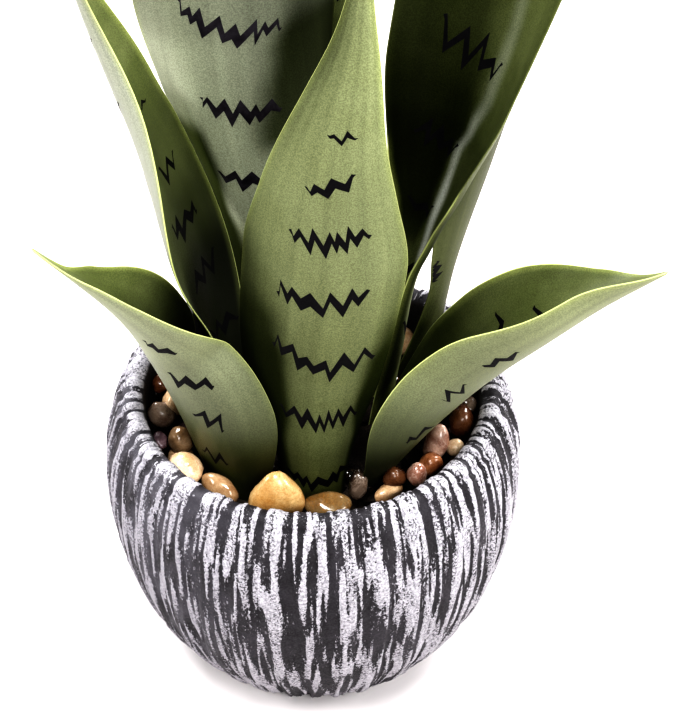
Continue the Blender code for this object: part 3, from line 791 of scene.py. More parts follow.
def bladeFields(w, inputs, here, row, across):
    # where the blade's middle surface lies, its normal, half its thickness, and the rim's distance
    hollow, sideways = [sampledFrom(w, inputs["Spine"], "FLOAT_VECTOR",
                                    namedField(w, label, "FLOAT_VECTOR"), row)
                        for label in ("hollow", "sideways")]
    spine = sampledFrom(w, inputs["Spine"], "FLOAT_VECTOR", w.add("GeometryNodeInputPosition"), row)
    angle = w.times(across, here["fold"])
    radius = w.calc("DIVIDE", here["halfWidth"], here["fold"])
    aside = w.scaled(sideways, w.times(radius, w.calc("SINE", angle)))
    inward = w.scaled(hollow, w.times(radius, w.minus(1.0, w.calc("COSINE", angle))))
    middle = w.vector("ADD", spine, w.vector("ADD", aside, inward))
    normal = w.vector("SUBTRACT", w.scaled(hollow, w.calc("COSINE", angle)),
                      w.scaled(sideways, w.calc("SINE", angle)))
    wavePlace = w.scaled(middle, w.calc("DIVIDE", 1.0, inputs["Wave Size"]))
    ripple = w.minus(w.noise(wavePlace, 1.0, 1.0), 0.5)
    middle = w.vector("ADD", middle, w.scaled(normal, w.times(ripple, inputs["Wave"])))
    fromMiddle = w.calc("ABSOLUTE", across)
    rim = w.times(w.minus(1.0, fromMiddle), here["halfWidth"])
    inset = w.calc("MAXIMUM", w.minus(1.0, w.calc("DIVIDE", rim, inputs["Rim Round"])), 0.0)
    rounding = w.calc("SQRT", w.calc("MAXIMUM", w.minus(1.0, w.calc("POWER", inset, 2.0)), 0.0))
    swell = w.minus(1.0, w.times(w.calc("POWER", fromMiddle, 2.0), leafBuild["rimThinning"]))
    half = w.times(w.times(here["bladeThickness"], 0.5), w.times(swell, rounding))
    return {"middle": middle, "normal": normal, "half": half, "rim": rim}


def shadedBlade(w, grid, here, across):
    # stores the painted light and shade that the leaf finish reads on both faces: the shade of the
    # foot and the flanks, the backlit glow of the rim, the sheen, the shade deep in the hollow and
    # its gloss streak
    for label in ("foot", "glow", "pale"):
        grid = stored(w, grid, label, here[label + "Tone"])
    flanks = []
    for label, toward in (("left", across), ("right", w.times(across, -1.0))):
        edge, soft = here[label + "EdgeTone"], here[label + "SoftTone"]
        flanks.append(w.times(here[label + "ShadeTone"],
                              w.ramp(toward, w.minus(edge, soft), w.plus(edge, soft))))
    grid = stored(w, grid, "flank", w.plus(*flanks))
    edge, soft = here["deepEdgeTone"], here["deepSoftTone"]
    deepSide = w.ramp(across, w.plus(edge, soft), w.minus(edge, soft))
    grid = stored(w, grid, "deep", w.times(here["deepTone"], deepSide))
    offGlossStreak = w.calc("ABSOLUTE", w.minus(across, here["bandMiddleTone"]))
    band = w.times(here["bandTone"], w.ramp(offGlossStreak, here["bandWidthTone"], 0.0))
    return stored(w, grid, "band", band)


def bladeSheet(w, grid, fields, sign):
    # one face of the blade: sign is -1 for the outer face and 1 for the hollow one
    hollowFace = sign > 0
    offset = w.scaled(fields["normal"], w.times(fields["half"], sign))
    sheet = w.add("GeometryNodeSetPosition", named={
        "Geometry": grid, "Position": w.vector("ADD", fields["middle"], offset)}).outputs[0]
    sheet = stored(w, sheet, "innerFace", 1.0 if hollowFace else 0.0)
    # the face's painted light and shade, as a brightness
    sheet = stored(w, sheet, "tone", fields["hollowTone" if hollowFace else "outerTone"])
    shift = markBuild["innerShift"] * mm if hollowFace else 0.0
    flat = w.combined(w.plus(namedField(w, "flatAcross"), shift), namedField(w, "flatAlong"), 0.0)
    sheet = stored(w, sheet, "unrolled", flat, "FLOAT2", "CORNER")
    return sheet if hollowFace else w.add("GeometryNodeFlipFaces", sheet).outputs[0]


def joinedParts(w, *parts):
    join = w.add("GeometryNodeJoinGeometry")
    for part in parts:
        w.join(part, join.inputs[0])
    return join.outputs[0]


def merged(w, geometry, distance):
    return w.add("GeometryNodeMergeByDistance", geometry, named={"Distance": distance}).outputs[0]


def finished(w, geometry, material):
    return w.add("GeometryNodeSetMaterial", geometry, named={"Material": material}).outputs[0]


def laidMarks(w, inputs, blade):
    # the flat marks brought onto the blade, as thin closed strips sunk a little into it
    def onBlade(field, output):
        return w.add("GeometryNodeSampleUVSurface", blade, field,
                     namedField(w, "unrolled", "FLOAT_VECTOR"), flatPlace,
                     data_type="FLOAT_VECTOR").outputs[output]

    marks = w.add("GeometryNodeObjectInfo", inputs["Marks"]).outputs["Geometry"]
    marks = w.add("GeometryNodeSubdivideMesh", marks, 2).outputs[0]
    flatPlace = w.add("GeometryNodeInputPosition").outputs[0]
    outer = w.calc("LESS_THAN", w.parts(flatPlace)[0], markBuild["innerShift"] * mm / 2)
    marks = stored(w, marks, "onOuter", outer, "FLOAT", "FACE")
    within = onBlade(w.add("GeometryNodeInputPosition"), "Is Valid")
    past = w.add("FunctionNodeBooleanMath", within, operation="NOT").outputs[0]
    marks = w.add("GeometryNodeDeleteGeometry", marks, past, domain="POINT").outputs[0]
    place = onBlade(w.add("GeometryNodeInputPosition"), 0)
    normal = onBlade(w.add("GeometryNodeInputNormal"), 0)
    sunk = w.scaled(normal, w.minus(inputs["Mark Lift"], inputs["Mark Depth"]))
    marks = w.add("GeometryNodeSetPosition", named={
        "Geometry": marks, "Position": w.vector("ADD", place, sunk)}).outputs[0]
    isOuter = w.calc("GREATER_THAN", namedField(w, "onOuter"), 0.5)
    under = w.add("GeometryNodeFlipFaces", marks, isOuter).outputs[0]
    raised = w.add("GeometryNodeExtrudeMesh", under, named={
        "Offset Scale": inputs["Mark Depth"], "Individual": False}).outputs[0]
    under = w.add("GeometryNodeFlipFaces", under).outputs[0]
    marks = merged(w, joinedParts(w, raised, under), 1e-7)
    return finished(w, marks, inputs["Paint Material"])


def makeLeafTree():
    w, inputs, output = newGeometryTree("leafBlade", "Spine", leafNumbers, ["Marks"],
                                        ["Leaf Material", "Paint Material"])
    grid = bladeGrid(w, inputs)
    row, across = namedField(w, "row"), namedField(w, "across")
    here = {label: sampledFrom(w, inputs["Spine"], "FLOAT", namedField(w, label), row)
            for label in stationFields}
    fields = bladeFields(w, inputs, here, row, across)
    # painted light and shade: the outer face's brightness keyed up the blade and tipped sideways,
    # and the hollow face's own
    slanted = w.minus(1.0, w.times(here["slantTone"], across))
    fields["outerTone"] = w.times(here["toneTone"], slanted)
    fields["hollowTone"] = here["hollowToneTone"]
    grid = stored(w, grid, "rim", fields["rim"])
    grid = stored(w, grid, "along", here["fraction"])
    grid = shadedBlade(w, grid, here, across)
    grid = stored(w, grid, "flatAcross", w.times(across, here["halfWidth"]))
    grid = stored(w, grid, "flatAlong", here["station"])
    blade = joinedParts(w, *[bladeSheet(w, grid, fields, sign) for sign in (-1.0, 1.0)])
    blade = finished(w, merged(w, blade, 1e-6), inputs["Leaf Material"])
    blade = w.add("GeometryNodeSetShadeSmooth", blade).outputs[0]
    both = joinedParts(w, laidMarks(w, inputs, blade), blade)
    w.join(w.add("GeometryNodeRealizeInstances", both), output)
    return w.tree


def buildLeaves():
    greens = [makeLeafMaterial(name, sheen) for name, sheen in leafSheens.items()]
    paints = [makePaintMaterial(name, inks) for name, inks in paintInks.items()]
    tree = makeLeafTree()
    for number, (name, shape) in enumerate(leafShapes.items()):
        spine = makeSpine(name + "_spine", shape)
        marks = makeFlatMarks(name + "_marks", shape, markBuild["seed"] + number)
        mesh = runTree(spine, tree, {
            **leafNumbers, "Marks": marks, "Leaf Material": greens[shape.get("matt", 0)],
            "Paint Material": paints[shape.get("faded", 0)]})
        for helper in (spine, marks):
            bpy.data.objects.remove(helper, do_unlink=True)
        piece = dressed(name + "_blade", mesh, [name])
        print("leaf:", piece.name, len(mesh.polygons), "faces")


buildLeaves()


# The pot's outline is keyed by the share of its height; around and the rows are counts of points.
potShape = {
    "height": 104.0,
    "side": [(0.0, 45.5), (0.12, 53.5), (0.3, 62.1), (0.55, 67.5), (0.8, 67.0), (1.0, 60.9)],
    "mouthRadius": 53.3,
    "well": [(0.0, 40.0), (0.18, 47.5), (0.45, 52.0), (1.0, 53.3)],
    "floor": 9.0,
    "floorRadius": 20.0,
    "footEdge": 2.0,
    "footHollow": 0.6,        # share of the foot's radius where the underside's inner ring lies
    "around": 880,
    "sideRows": 74,
    "rimRows": 13,
    "wellRows": 18,
    "footRows": 4,
}

potRelief = {
    "ribs": 36,               # the main ribs of the casting; they wander as they go up
    "ribDepth": 1.1,
    "ribWanders": [(0.8, 5, 3.0, 0.0), (0.6, 9, -5.0, 2.0)],   # reach, waves, change, start
    "ribDepthWander": (0.25, 7, 9.0, 0.0),
    "ribEdges": (0.25, 0.9),
    "rimShare": 0.3,          # how much of the rim's round is crossed before the ribs are full
    "barkScale": 530.0,       # the narrow ridges between, per metre
    "stretch": 0.075,         # how much slower they change up the pot than round it
    "edgeStart": 0.46,
    "edgeEnd": 0.56,
    "barkDepth": 0.5,
    "fineScale": 900.0,
    "fineStretch": 0.22,
    "fineDepth": 0.3,
    "ringRadius": 62.0,       # of the ring that the ridges' pattern is taken from
    "ribPaint": 0.05,         # how much more paint the ribs catch than the grooves
}


def keyedRadius(points, fraction):
    # the radius of a smooth outline where it reaches a fraction of its height
    outline = [(share, radius, 0.0) for share, radius in points]
    low, high = 0.0, 1.0
    for _ in range(30):
        half = (low + high) / 2
        if through(outline, half).x < fraction:
            low = half
        else:
            high = half
    return through(outline, (low + high) / 2).y


def spread(start, end, count):
    return [start + (end - start) * i / (count - 1) for i in range(count)]


def rimPoints(foot, radius, rows):
    # the rounded rim from the well over to the side; the ribs grow as it turns outward
    mouth = potShape["mouthRadius"]
    points = []
    for angle in spread(math.pi, 0.0, rows):
        crossed = 1 - angle / math.pi
        points.append((mouth + radius + radius * math.cos(angle), foot + radius * math.sin(angle),
                       min(1.0, crossed / potRelief["rimShare"])))
    return points


def potOutline():
    # points of (radius, height, how strongly the ridges show), from the floor over the rim
    shape = potShape
    height, floor, edge = shape["height"], shape["floor"], shape["footEdge"]
    rimRadius = (shape["side"][-1][1] - shape["mouthRadius"]) / 2
    rimFoot = height - rimRadius
    points = [(0.0, floor, 0.0), (shape["floorRadius"], floor, 0.0)]
    for z in spread(floor, rimFoot, shape["wellRows"])[:-1]:
        points.append((keyedRadius(shape["well"], (z - floor) / (height - floor)), z, 0.0))
    points += rimPoints(rimFoot, rimRadius, shape["rimRows"])
    for z in spread(rimFoot, edge, shape["sideRows"])[1:]:
        points.append((keyedRadius(shape["side"], z / height), z, 1.0))
    foot = keyedRadius(shape["side"], 0.0)
    for angle in spread(0.0, math.pi / 2, shape["footRows"])[1:]:
        points.append((foot - edge * (1 - math.cos(angle)), edge * (1 - math.sin(angle)),
                       math.cos(angle)))
    return points + [(foot * shape["footHollow"], 0.0, 0.0), (0.0, 0.0, 0.0)]


def makePotProfile():
    # the outline as a line that carries its outward direction, its length so far and its relief
    points = potOutline()
    mesh = bpy.data.meshes.new("pot_profile")
    mesh.from_pydata([(r * mm, 0.0, z * mm) for r, z, _ in points],
                     [(i, i + 1) for i in range(len(points) - 1)], [])
    arc, outward, total = [], [], 0.0
    for i, (r, z, _) in enumerate(points):
        before, after = points[max(0, i - 1)], points[min(len(points) - 1, i + 1)]
        total += math.dist((r, z), before[:2])
        arc.append(total * mm)
        run, rise = after[0] - before[0], after[1] - before[1]
        length = math.hypot(run, rise)
        outward += [-rise / length, 0.0, run / length]
    strength = [share for _, _, share in points]
    mesh.attributes.new("outward", "FLOAT_VECTOR", "POINT").data.foreach_set("vector", outward)
    mesh.attributes.new("arc", "FLOAT", "POINT").data.foreach_set("value", arc)
    mesh.attributes.new("relief", "FLOAT", "POINT").data.foreach_set("value", strength)
    return newObject("pot_profile", mesh)


def wander(w, rule, turn, share):
    reach, waves, change, start = rule
    swing = w.plus(w.times(turn, waves), w.times(share, change))
    return w.times(w.calc("SINE", w.plus(swing, start)), reach)


def ribSink(w, turn, share, ribs):
    # how far the surface lies below the rib tops, from 0 to 1
    phase = w.times(turn, ribs)
    for rule in potRelief["ribWanders"]:
        phase = w.plus(phase, wander(w, rule, turn, share))
    groove = w.minus(0.5, w.times(w.calc("COSINE", phase), 0.5))
    depthRule = potRelief["ribDepthWander"]
    depth = w.plus(1 - depthRule[0], wander(w, depthRule, turn, share))
    return w.times(w.ramp(groove, *potRelief["ribEdges"]), depth)


potNumbers = {
    "Around": potShape["around"],
    "Pot Height": potShape["height"] * mm,
    "Ribs": potRelief["ribs"],
    "Rib Depth": potRelief["ribDepth"] * mm,
    "Rib Paint": potRelief["ribPaint"],
    "Bark Scale": potRelief["barkScale"],
    "Stretch": potRelief["stretch"],
    "Edge Start": potRelief["edgeStart"],
    "Edge End": potRelief["edgeEnd"],
    "Bark Depth": potRelief["barkDepth"] * mm,
    "Fine Scale": potRelief["fineScale"],
    "Fine Stretch": potRelief["fineStretch"],
    "Fine Depth": potRelief["fineDepth"] * mm,
    "Ring Radius": potRelief["ringRadius"] * mm,
}


def ridgeFields(w, inputs, turn, around, arc, height):
    # the narrow bark ridges, the fine grain on them and the wandering ribs
    ring = w.scaled(around, inputs["Ring Radius"])
    barkPlace, finePlace = [
        w.vector("ADD", ring, w.combined(0.0, 0.0, w.times(arc, inputs[stretch])))
        for stretch in ("Stretch", "Fine Stretch")]
    bark = w.noise(barkPlace, inputs["Bark Scale"], 1.5, 0.45, 0.25)
    fine = w.noise(finePlace, inputs["Fine Scale"], 3.0, 0.55)
    rib = ribSink(w, turn, w.calc("DIVIDE", height, inputs["Pot Height"]), inputs["Ribs"])
    return bark, fine, rib


def makePotTree():
    w, inputs, output = newGeometryTree("castPot", "Profile", potNumbers, [], ["Material"])
    rows = w.add("GeometryNodeAttributeDomainSize", inputs["Profile"]).outputs["Point Count"]
    columns = w.plus(inputs["Around"], 1.0)
    grid = w.add("GeometryNodeMeshGrid", 1.0, 1.0, columns, rows).outputs["Mesh"]
    flat = w.parts(w.add("GeometryNodeInputPosition"))
    grid = stored(w, grid, "turn", w.times(w.plus(flat[0], 0.5), math.tau))
    grid = stored(w, grid, "row", w.calc("ROUND", w.times(w.plus(flat[1], 0.5),
                                                          w.minus(rows, 1.0))))
    turn, row = namedField(w, "turn"), namedField(w, "row")
    place, outward = [
        w.parts(sampledFrom(w, inputs["Profile"], "FLOAT_VECTOR", field, row))
        for field in (w.add("GeometryNodeInputPosition"), namedField(w, "outward", "FLOAT_VECTOR"))]
    arc, relief = [sampledFrom(w, inputs["Profile"], "FLOAT", namedField(w, label), row)
                   for label in ("arc", "relief")]
    around = w.combined(w.calc("COSINE", turn), w.calc("SINE", turn), 0.0)
    bark, fine, rib = ridgeFields(w, inputs, turn, around, arc, place[2])
    groove = w.minus(w.ramp(bark, inputs["Edge Start"], inputs["Edge End"]), 1.0)
    sink = w.times(groove, inputs["Bark Depth"])
    sink = w.minus(sink, w.times(rib, inputs["Rib Depth"]))
    sink = w.plus(sink, w.times(w.minus(fine, 0.75), inputs["Fine Depth"]))
    sink = w.times(sink, relief)
    reach = w.plus(place[0], w.times(outward[0], sink))
    lift = w.plus(place[2], w.times(outward[2], sink))
    grid = stored(w, grid, "ridge", w.plus(bark, w.times(w.minus(0.4, rib), inputs["Rib Paint"])))
    grid = stored(w, grid, "relief", relief)
    surface = w.vector("ADD", w.scaled(around, reach), w.combined(0.0, 0.0, lift))
    pot = w.add("GeometryNodeSetPosition", named={
        "Geometry": grid, "Position": surface}).outputs[0]
    pot = merged(w, pot, 1e-6)
    for step in ("FlipFaces", "SetShadeSmooth", "RealizeInstances"):
        pot = w.add("GeometryNode" + step, pot).outputs[0]
    w.join(finished(w, pot, inputs["Material"]), output)
    return w.tree


potFinish = {
    "charcoal": (0.018, 0.016, 0.019),
    "worn": (0.042, 0.038, 0.045),
    "leftGlare": (0.125, 0.120, 0.140),   # painted highlight: a grey glare on the left side
    "leftGlareShare": 0.55,
    "paint": (0.600, 0.582, 0.620),
    "paintShade": (0.230, 0.222, 0.245),
    # painted shade on the left side's paint, less on the rim's top
    "leftShadedPaint": (0.230, 0.222, 0.250),
    "wall": (0.030, 0.028, 0.030),
    "leftSide": (-10, -52),   # from where to where the left side's painted glare and painted shade set in
    "rightSide": (20, 55),
    "rimTop": (101.2, 102.8),
    "threshold": 0.526,
    "paintEdge": (-0.012, 0.018),    # how softly the paint ends about the threshold
    "speckEdge": (-0.14, -0.02),
    "chips": 0.26,            # how far chips and patches move the paint's edge
    "patches": 0.16,
    "chipScale": 1000.0,
    "patchScale": 160.0,
    "patchStretch": 0.35,     # how much slower patches and dabs change up the pot than round it
    "dabScale": 1700.0,
    "dabEdge": (0.60, 0.68),
    "dabShare": 0.8,
    "pitScale": 1500.0,
    "pitEdge": (0.52, 0.60),
    "pittedPatches": (0.42, 0.62),
    "pitPaint": 0.15,         # what paint is left in a pit
    "rightPaint": 0.03,       # how much more paint the right side catches, painted light that lightens that side
    "rimPaint": (0.0, 0.10),  # how much more paint the rim's top catches, from front to left side, partly real paint and partly painted light on its top
    "roughness": 0.72,
    "bumpShare": 0.5,
    "bumpDepth": 0.25,
}


def paintShares(wiring, ridge, relief, place, east, leftward, rimTop):
    # how much of the dry-brushed paint has caught, with the chips and patches that break it up
    look = potFinish
    tall = wiring.add("ShaderNodeMapping", place,
                      named={"Scale": (1.0, 1.0, look["patchStretch"])}).outputs[0]
    chips = wiring.noise(place, look["chipScale"], 2.0, 0.6)
    patches = wiring.noise(tall, look["patchScale"], 2.0, 0.5)
    dabPlace = wiring.vector("ADD", tall, (0.3, 0.1, 0.2))   # away from the other patterns
    dabs = wiring.noise(dabPlace, look["dabScale"], 2.0, 0.5)
    pits = wiring.ramp(wiring.noise(place, look["pitScale"], 1.0), *look["pitEdge"])
    pits = wiring.times(pits, wiring.ramp(patches, *look["pittedPatches"]))
    swings = [wiring.times(wiring.minus(field, 0.5), look[label])
              for field, label in ((chips, "chips"), (patches, "patches"))]
    loaded = wiring.plus(ridge, wiring.plus(*swings))
    # more paint on the right side is painted light that lightens it; more on the rim's top toward
    # the left is partly real paint and partly painted light
    right = [side * mm for side in look["rightSide"]]
    loaded = wiring.plus(loaded, wiring.ramp(east, *right, 0.0, look["rightPaint"]))
    rimShare = wiring.ramp(leftward, 0.0, 1.0, *look["rimPaint"])
    loaded = wiring.plus(loaded, wiring.times(rimTop, rimShare))
    body = wiring.ramp(loaded, *[look["threshold"] + reach for reach in look["paintEdge"]])
    body = wiring.times(body, wiring.ramp(pits, 0.0, 1.0, 1.0, look["pitPaint"]))
    nearRidge = wiring.ramp(ridge, *[look["threshold"] + reach for reach in look["speckEdge"]])
    specks = wiring.times(wiring.ramp(dabs, *look["dabEdge"], 0.0, look["dabShare"]), nearRidge)
    brushed = wiring.times(wiring.calc("MAXIMUM", body, specks), wiring.ramp(relief, 0.3, 0.6))
    return brushed, chips, patches


def makePotMaterial():
    look = potFinish
    material, wiring, shader, place = newMaterial("castPot", look["roughness"])
    ridge, relief = attributeOf(wiring, "ridge"), attributeOf(wiring, "relief")
    grain, drift = speckle(wiring, place, 1300.0, 70.0)
    east, _, up = wiring.parts(place)
    leftward = wiring.ramp(east, *[side * mm for side in look["leftSide"]])
    rimTop = wiring.ramp(up, *[height * mm for height in look["rimTop"]])
    brushed, chips, patches = paintShares(wiring, ridge, relief, place, east, leftward, rimTop)
    base = wiring.mixed(drift, look["charcoal"], look["worn"])
    # painted highlight: a grey glare laid in patches over the left side's dark base
    glareShare = wiring.times(wiring.ramp(patches, 0.35, 0.6), look["leftGlareShare"])
    base = wiring.mixed(wiring.times(leftward, glareShare), base, look["leftGlare"])
    base = wiring.mixed(wiring.ramp(relief, 0.5, 0.2), base, look["wall"])
    paint = wiring.mixed(grain, look["paintShade"], look["paint"])
    # painted shade: the left side's paint made dimmer, less so on the rim's top
    leftPaintShade = wiring.times(leftward, wiring.ramp(rimTop, 0.0, 1.0, 0.5, 0.1))
    paint = wiring.mixed(leftPaintShade, paint, look["leftShadedPaint"])
    wiring.join(wiring.mixed(brushed, base, paint), shader.inputs["Base Color"])
    wiring.join(wiring.ramp(grain, 0.0, 1.0, 0.6, 0.85), shader.inputs["Roughness"])
    height = wiring.plus(wiring.times(brushed, 0.5), chips)
    bumped(wiring, shader, height, look["bumpShare"], look["bumpDepth"] * mm)
    return material


def buildPot():
    profile = makePotProfile()
    mesh = runTree(profile, makePotTree(), {**potNumbers, "Material": makePotMaterial()})
    bpy.data.objects.remove(profile, do_unlink=True)
    piece = dressed("pot_shell", mesh, ["pot"])
    print("pot:", piece.name, len(mesh.polygons), "faces")


buildPot()


# Each finish as its dark and its light shade and the colour of its veins.
stoneLooks = {
    "pebble_amber": ((0.35, 0.195, 0.070), (0.52, 0.37, 0.19), (0.34, 0.15, 0.03)),
    "pebble_tan": ((0.30, 0.18, 0.09), (0.56, 0.40, 0.25), (0.22, 0.12, 0.06)),
    "pebble_rose": ((0.20, 0.10, 0.07), (0.48, 0.34, 0.27), (0.60, 0.50, 0.44)),
    "pebble_grey": ((0.12, 0.075, 0.055), (0.32, 0.24, 0.185), (0.42, 0.35, 0.29)),
    "pebble_umber": ((0.08, 0.025, 0.012), (0.28, 0.13, 0.06), (0.05, 0.02, 0.01)),
    "pebble_cream": ((0.50, 0.32, 0.18), (0.74, 0.59, 0.42), (0.44, 0.24, 0.11)),
    "pebble_plum": ((0.06, 0.035, 0.042), (0.20, 0.13, 0.15), (0.38, 0.32, 0.34)),
    "gravel": ((0.07, 0.045, 0.030), (0.30, 0.20, 0.13), (0.16, 0.10, 0.07)),
}

stoneFinish = {
    "grainScale": 1900.0,
    "driftScale": 150.0,
    "veinScale": 240.0,
    "bumpScale": 420.0,
    "roughness": (0.12, 0.3),
    "coat": 0.22,
    "coatRoughness": 0.06,
    "toneShade": (0.40, 1.2),      # of the darkest and the lightest stone
    "grainShade": (0.88, 1.08),
    "stems": (37.0, 42.0),         # distance from the axis within which the stones lie in the dark
    "stemShade": 0.06,
    "veinWidth": 0.035,
    "veinShare": 0.35,
    "bumpShare": 0.12,
    "bumpDepth": 0.3,
}


def makeStoneMaterial(name):
    look = stoneFinish
    dark, light, veinColour = stoneLooks[name]
    material, wiring, shader, place = newMaterial(name + "_polished", 0.16, {
        "Coat Weight": look["coat"], "Coat Roughness": look["coatRoughness"]})
    tone = attributeOf(wiring, "tone")
    shift = wiring.combined(tone, wiring.times(tone, 3.1), wiring.times(tone, 1.7))
    moved = wiring.vector("ADD", place, shift)    # so that no two stones share a pattern
    grain, drift = speckle(wiring, moved, look["grainScale"], look["driftScale"])
    # each stone's lightness: its own colour and, for some low stones among the stems, painted shade
    shade = wiring.ramp(tone, 0.0, 1.0, *look["toneShade"])
    shade = wiring.times(shade, wiring.ramp(grain, 0.0, 1.0, *look["grainShade"]))
    east, north, _ = wiring.parts(place)
    fromAxis = wiring.calc("SQRT", wiring.plus(wiring.calc("POWER", east, 2.0),
                                               wiring.calc("POWER", north, 2.0)))
    stems = [distance * mm for distance in look["stems"]]
    shade = wiring.times(shade, wiring.ramp(fromAxis, *stems, look["stemShade"], 1.0))
    colour = wiring.dimmed(wiring.mixed(drift, dark, light), shade)
    bands = wiring.noise(moved, look["veinScale"], 3.0, 0.6, 1.2)
    offVein = wiring.calc("ABSOLUTE", wiring.minus(bands, 0.5))
    vein = wiring.times(wiring.ramp(offVein, look["veinWidth"], 0.0), look["veinShare"])
    wiring.join(wiring.mixed(vein, colour, veinColour), shader.inputs["Base Color"])
    wiring.join(wiring.ramp(drift, 0.0, 1.0, *look["roughness"]), shader.inputs["Roughness"])
    worn = wiring.noise(moved, look["bumpScale"], 3.0)
    bumped(wiring, shader, worn, look["bumpShare"], look["bumpDepth"] * mm)
    return material


# The stones that lie where they show most: place, size (length, width, height), turn and lean in
# degrees, how much the top narrows, and tone from dark to light, the stone's own colour and, for the
# low stones sunk among the stems, partly painted shade. The rest lie as their solids do.
pebbleShapes = {
    "pebble_01": ((-10.3, -43.0, 97.0), (18.0, 13.5, 20.0), 0, 0, 0.38, 0.95),
    "pebble_02": ((5.2, -42.6, 92.8), (15.0, 10.0, 7.5), 0, 0, 0.0, 0.12),
    "pebble_03": ((14.5, -36.0, 94.5), (6.5, 7.0, 13.0), 0, 5, 0.1, 0.3),
    "pebble_04": ((23.8, -36.4, 92.0), (11.0, 5.5, 5.5), 35, 0, 0.0, 0.75),
    "pebble_05": ((25.6, -33.4, 95.5), (8.0, 6.5, 7.0), 20, 0, 0.1, 0.35),
    "pebble_06": ((32.4, -33.6, 96.8), (6.6, 6.6, 9.0), 40, 0, 0.0, 0.95),
    "pebble_07": ((38.6, -22.6, 99.0), (8.0, 9.0, 14.5), 30, 18, 0.15, 1.0),
    "pebble_08": ((47.2, -11.5, 98.0), (10.5, 8.5, 11.0), 75, 20, 0.0, 0.3),
    "pebble_09": ((49.3, 2.0, 91.5), (9.0, 6.5, 7.0), 95, 0, 0.0, 0.7),
    "pebble_10": ((-38.7, -30.7, 96.2), (12.6, 10.5, 10.0), 130, 0, 0.0, 0.92),
    "pebble_11": ((-27.9, -37.6, 94.9), (14.0, 7.5, 8.0), -38, 6, 0.0, 0.62),
    "pebble_12": ((-41.2, -16.6, 95.0), (8.6, 8.6, 9.0), 100, 10, 0.0, 0.3),
    "pebble_13": ((-48.2, -14.8, 92.5), (7.5, 5.5, 5.0), 100, 0, 0.0, 0.6),
    "pebble_14": ((-48.3, -4.2, 94.0), (8.2, 9.2, 10.0), 80, 0, 0.0, 0.7),
    "pebble_15": ((-44.5, 14.0, 93.5), (12.0, 8.0, 11.0), 75, 0, 0.0, 0.6),
    "pebble_24": ((21.9, -23.8, 87.0), (12.5, 10.7, 7.7), 0, 0, 0.0, 0.3),
    "pebble_29": ((26.2, 15.6, 87.5), (8.2, 11.8, 8.2), 0, 0, 0.0, 0.2),
    "pebble_46": ((15.2, -28.9, 86.5), (6.1, 8.0, 4.9), 0, 0, 0.0, 0.2),
}

# Stones that only the dressed part has: finish, then the same values.
extraStones = [
    ("pebble_umber", (36.8, -29.0, 96.6), (8.5, 6.5, 8.5), 35, 0, 0.0, 1.0),
    ("pebble_cream", (44.6, -22.6, 97.5), (6.0, 5.5, 6.0), 40, 0, 0.0, 0.5),
    ("pebble_grey", (50.2, -3.0, 97.0), (6.5, 5.0, 4.5), 80, 0, 0.0, 0.4),
    ("pebble_umber", (-49.3, 8.5, 95.0), (7.0, 6.0, 7.0), 95, 0, 0.0, 0.6),
    ("pebble_cream", (-43.6, -0.8, 96.2), (9.5, 9.0, 10.5), 85, -12, 0.0, 0.85),
]

stoneBuild = {
    "roundness": 3,           # times the sphere that each stone starts from is subdivided
    "facets": 6,              # flats worn on each stone
    "facetDepth": (0.74, 0.92),
    "facetWear": 0.7,
    "lump": 0.10,
    "lumpScale": 1.2,
    "strewnLean": 8.0,        # most that a stone without its own place leans, in degrees
    "seed": 5,
}


def tumbledStone(bm, place, size, turn, lean, narrowing, dice, roundness):
    # adds one worn pebble, in metres, and returns its points
    build = stoneBuild
    made = bmesh.ops.create_icosphere(bm, subdivisions=roundness, radius=1.0)["verts"]
    flats = []
    for _ in range(build["facets"]):
        flat = Vector([dice.gauss(0, 1) for _ in range(3)]).normalized()
        flats.append((flat, dice.uniform(*build["facetDepth"])))
    offset = Vector([dice.uniform(-50, 50) for _ in range(3)])
    stand = (Matrix.Rotation(math.radians(turn), 3, "Z")
             @ Matrix.Rotation(math.radians(lean), 3, "Y"))
    for vert in made:
        point = vert.co.copy()
        for flat, reach in flats:
            over = point.dot(flat) - reach
            if over > 0:
                point -= flat * over * build["facetWear"]
        point *= 1 + build["lump"] * noise.noise(vert.co * build["lumpScale"] + offset)
        waist = 1 - narrowing * (0.5 + 0.5 * point.z)
        point = Vector((point.x * waist * (1 + narrowing * 0.4), point.y * waist, point.z))
        vert.co = stand @ Vector([value * extent / 2 for value, extent in zip(point, size)])
        vert.co += Vector(place)
    return made


def stoneFromNode(node):
    # the place, size and turn of a pebble's solid, in metres and degrees
    points = [vertex.co for vertex in node.data.vertices]
    middle = Vector([(min(p[i] for p in points) + max(p[i] for p in points)) / 2
                     for i in range(3)])
    xx = sum((p.x - middle.x) ** 2 for p in points)
    yy = sum((p.y - middle.y) ** 2 for p in points)
    xy = sum((p.x - middle.x) * (p.y - middle.y) for p in points)
    turn = 0.5 * math.atan2(2 * xy, xx - yy)
    axes = [Vector(axis) for axis in ((math.cos(turn), math.sin(turn), 0),
                                      (-math.sin(turn), math.cos(turn), 0), (0, 0, 1))]
    size = [max(p.dot(axis) for p in points) - min(p.dot(axis) for p in points) for axis in axes]
    return middle, size, math.degrees(turn)


def inMetres(place, size, *rest):
    return ([value * mm for value in place], [value * mm for value in size], *rest)


def stonesOf(kind, names, dice):
    stones = []
    for name in names:
        if name in pebbleShapes:
            stones.append(inMetres(*pebbleShapes[name]))
        else:
            lean = dice.uniform(-stoneBuild["strewnLean"], stoneBuild["strewnLean"])
            place, size, turn = stoneFromNode(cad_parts[name])
            stones.append((place, size, turn, lean, 0.0, dice.random()))
    return stones + [inMetres(*stone) for extraKind, *stone in extraStones if extraKind == kind]


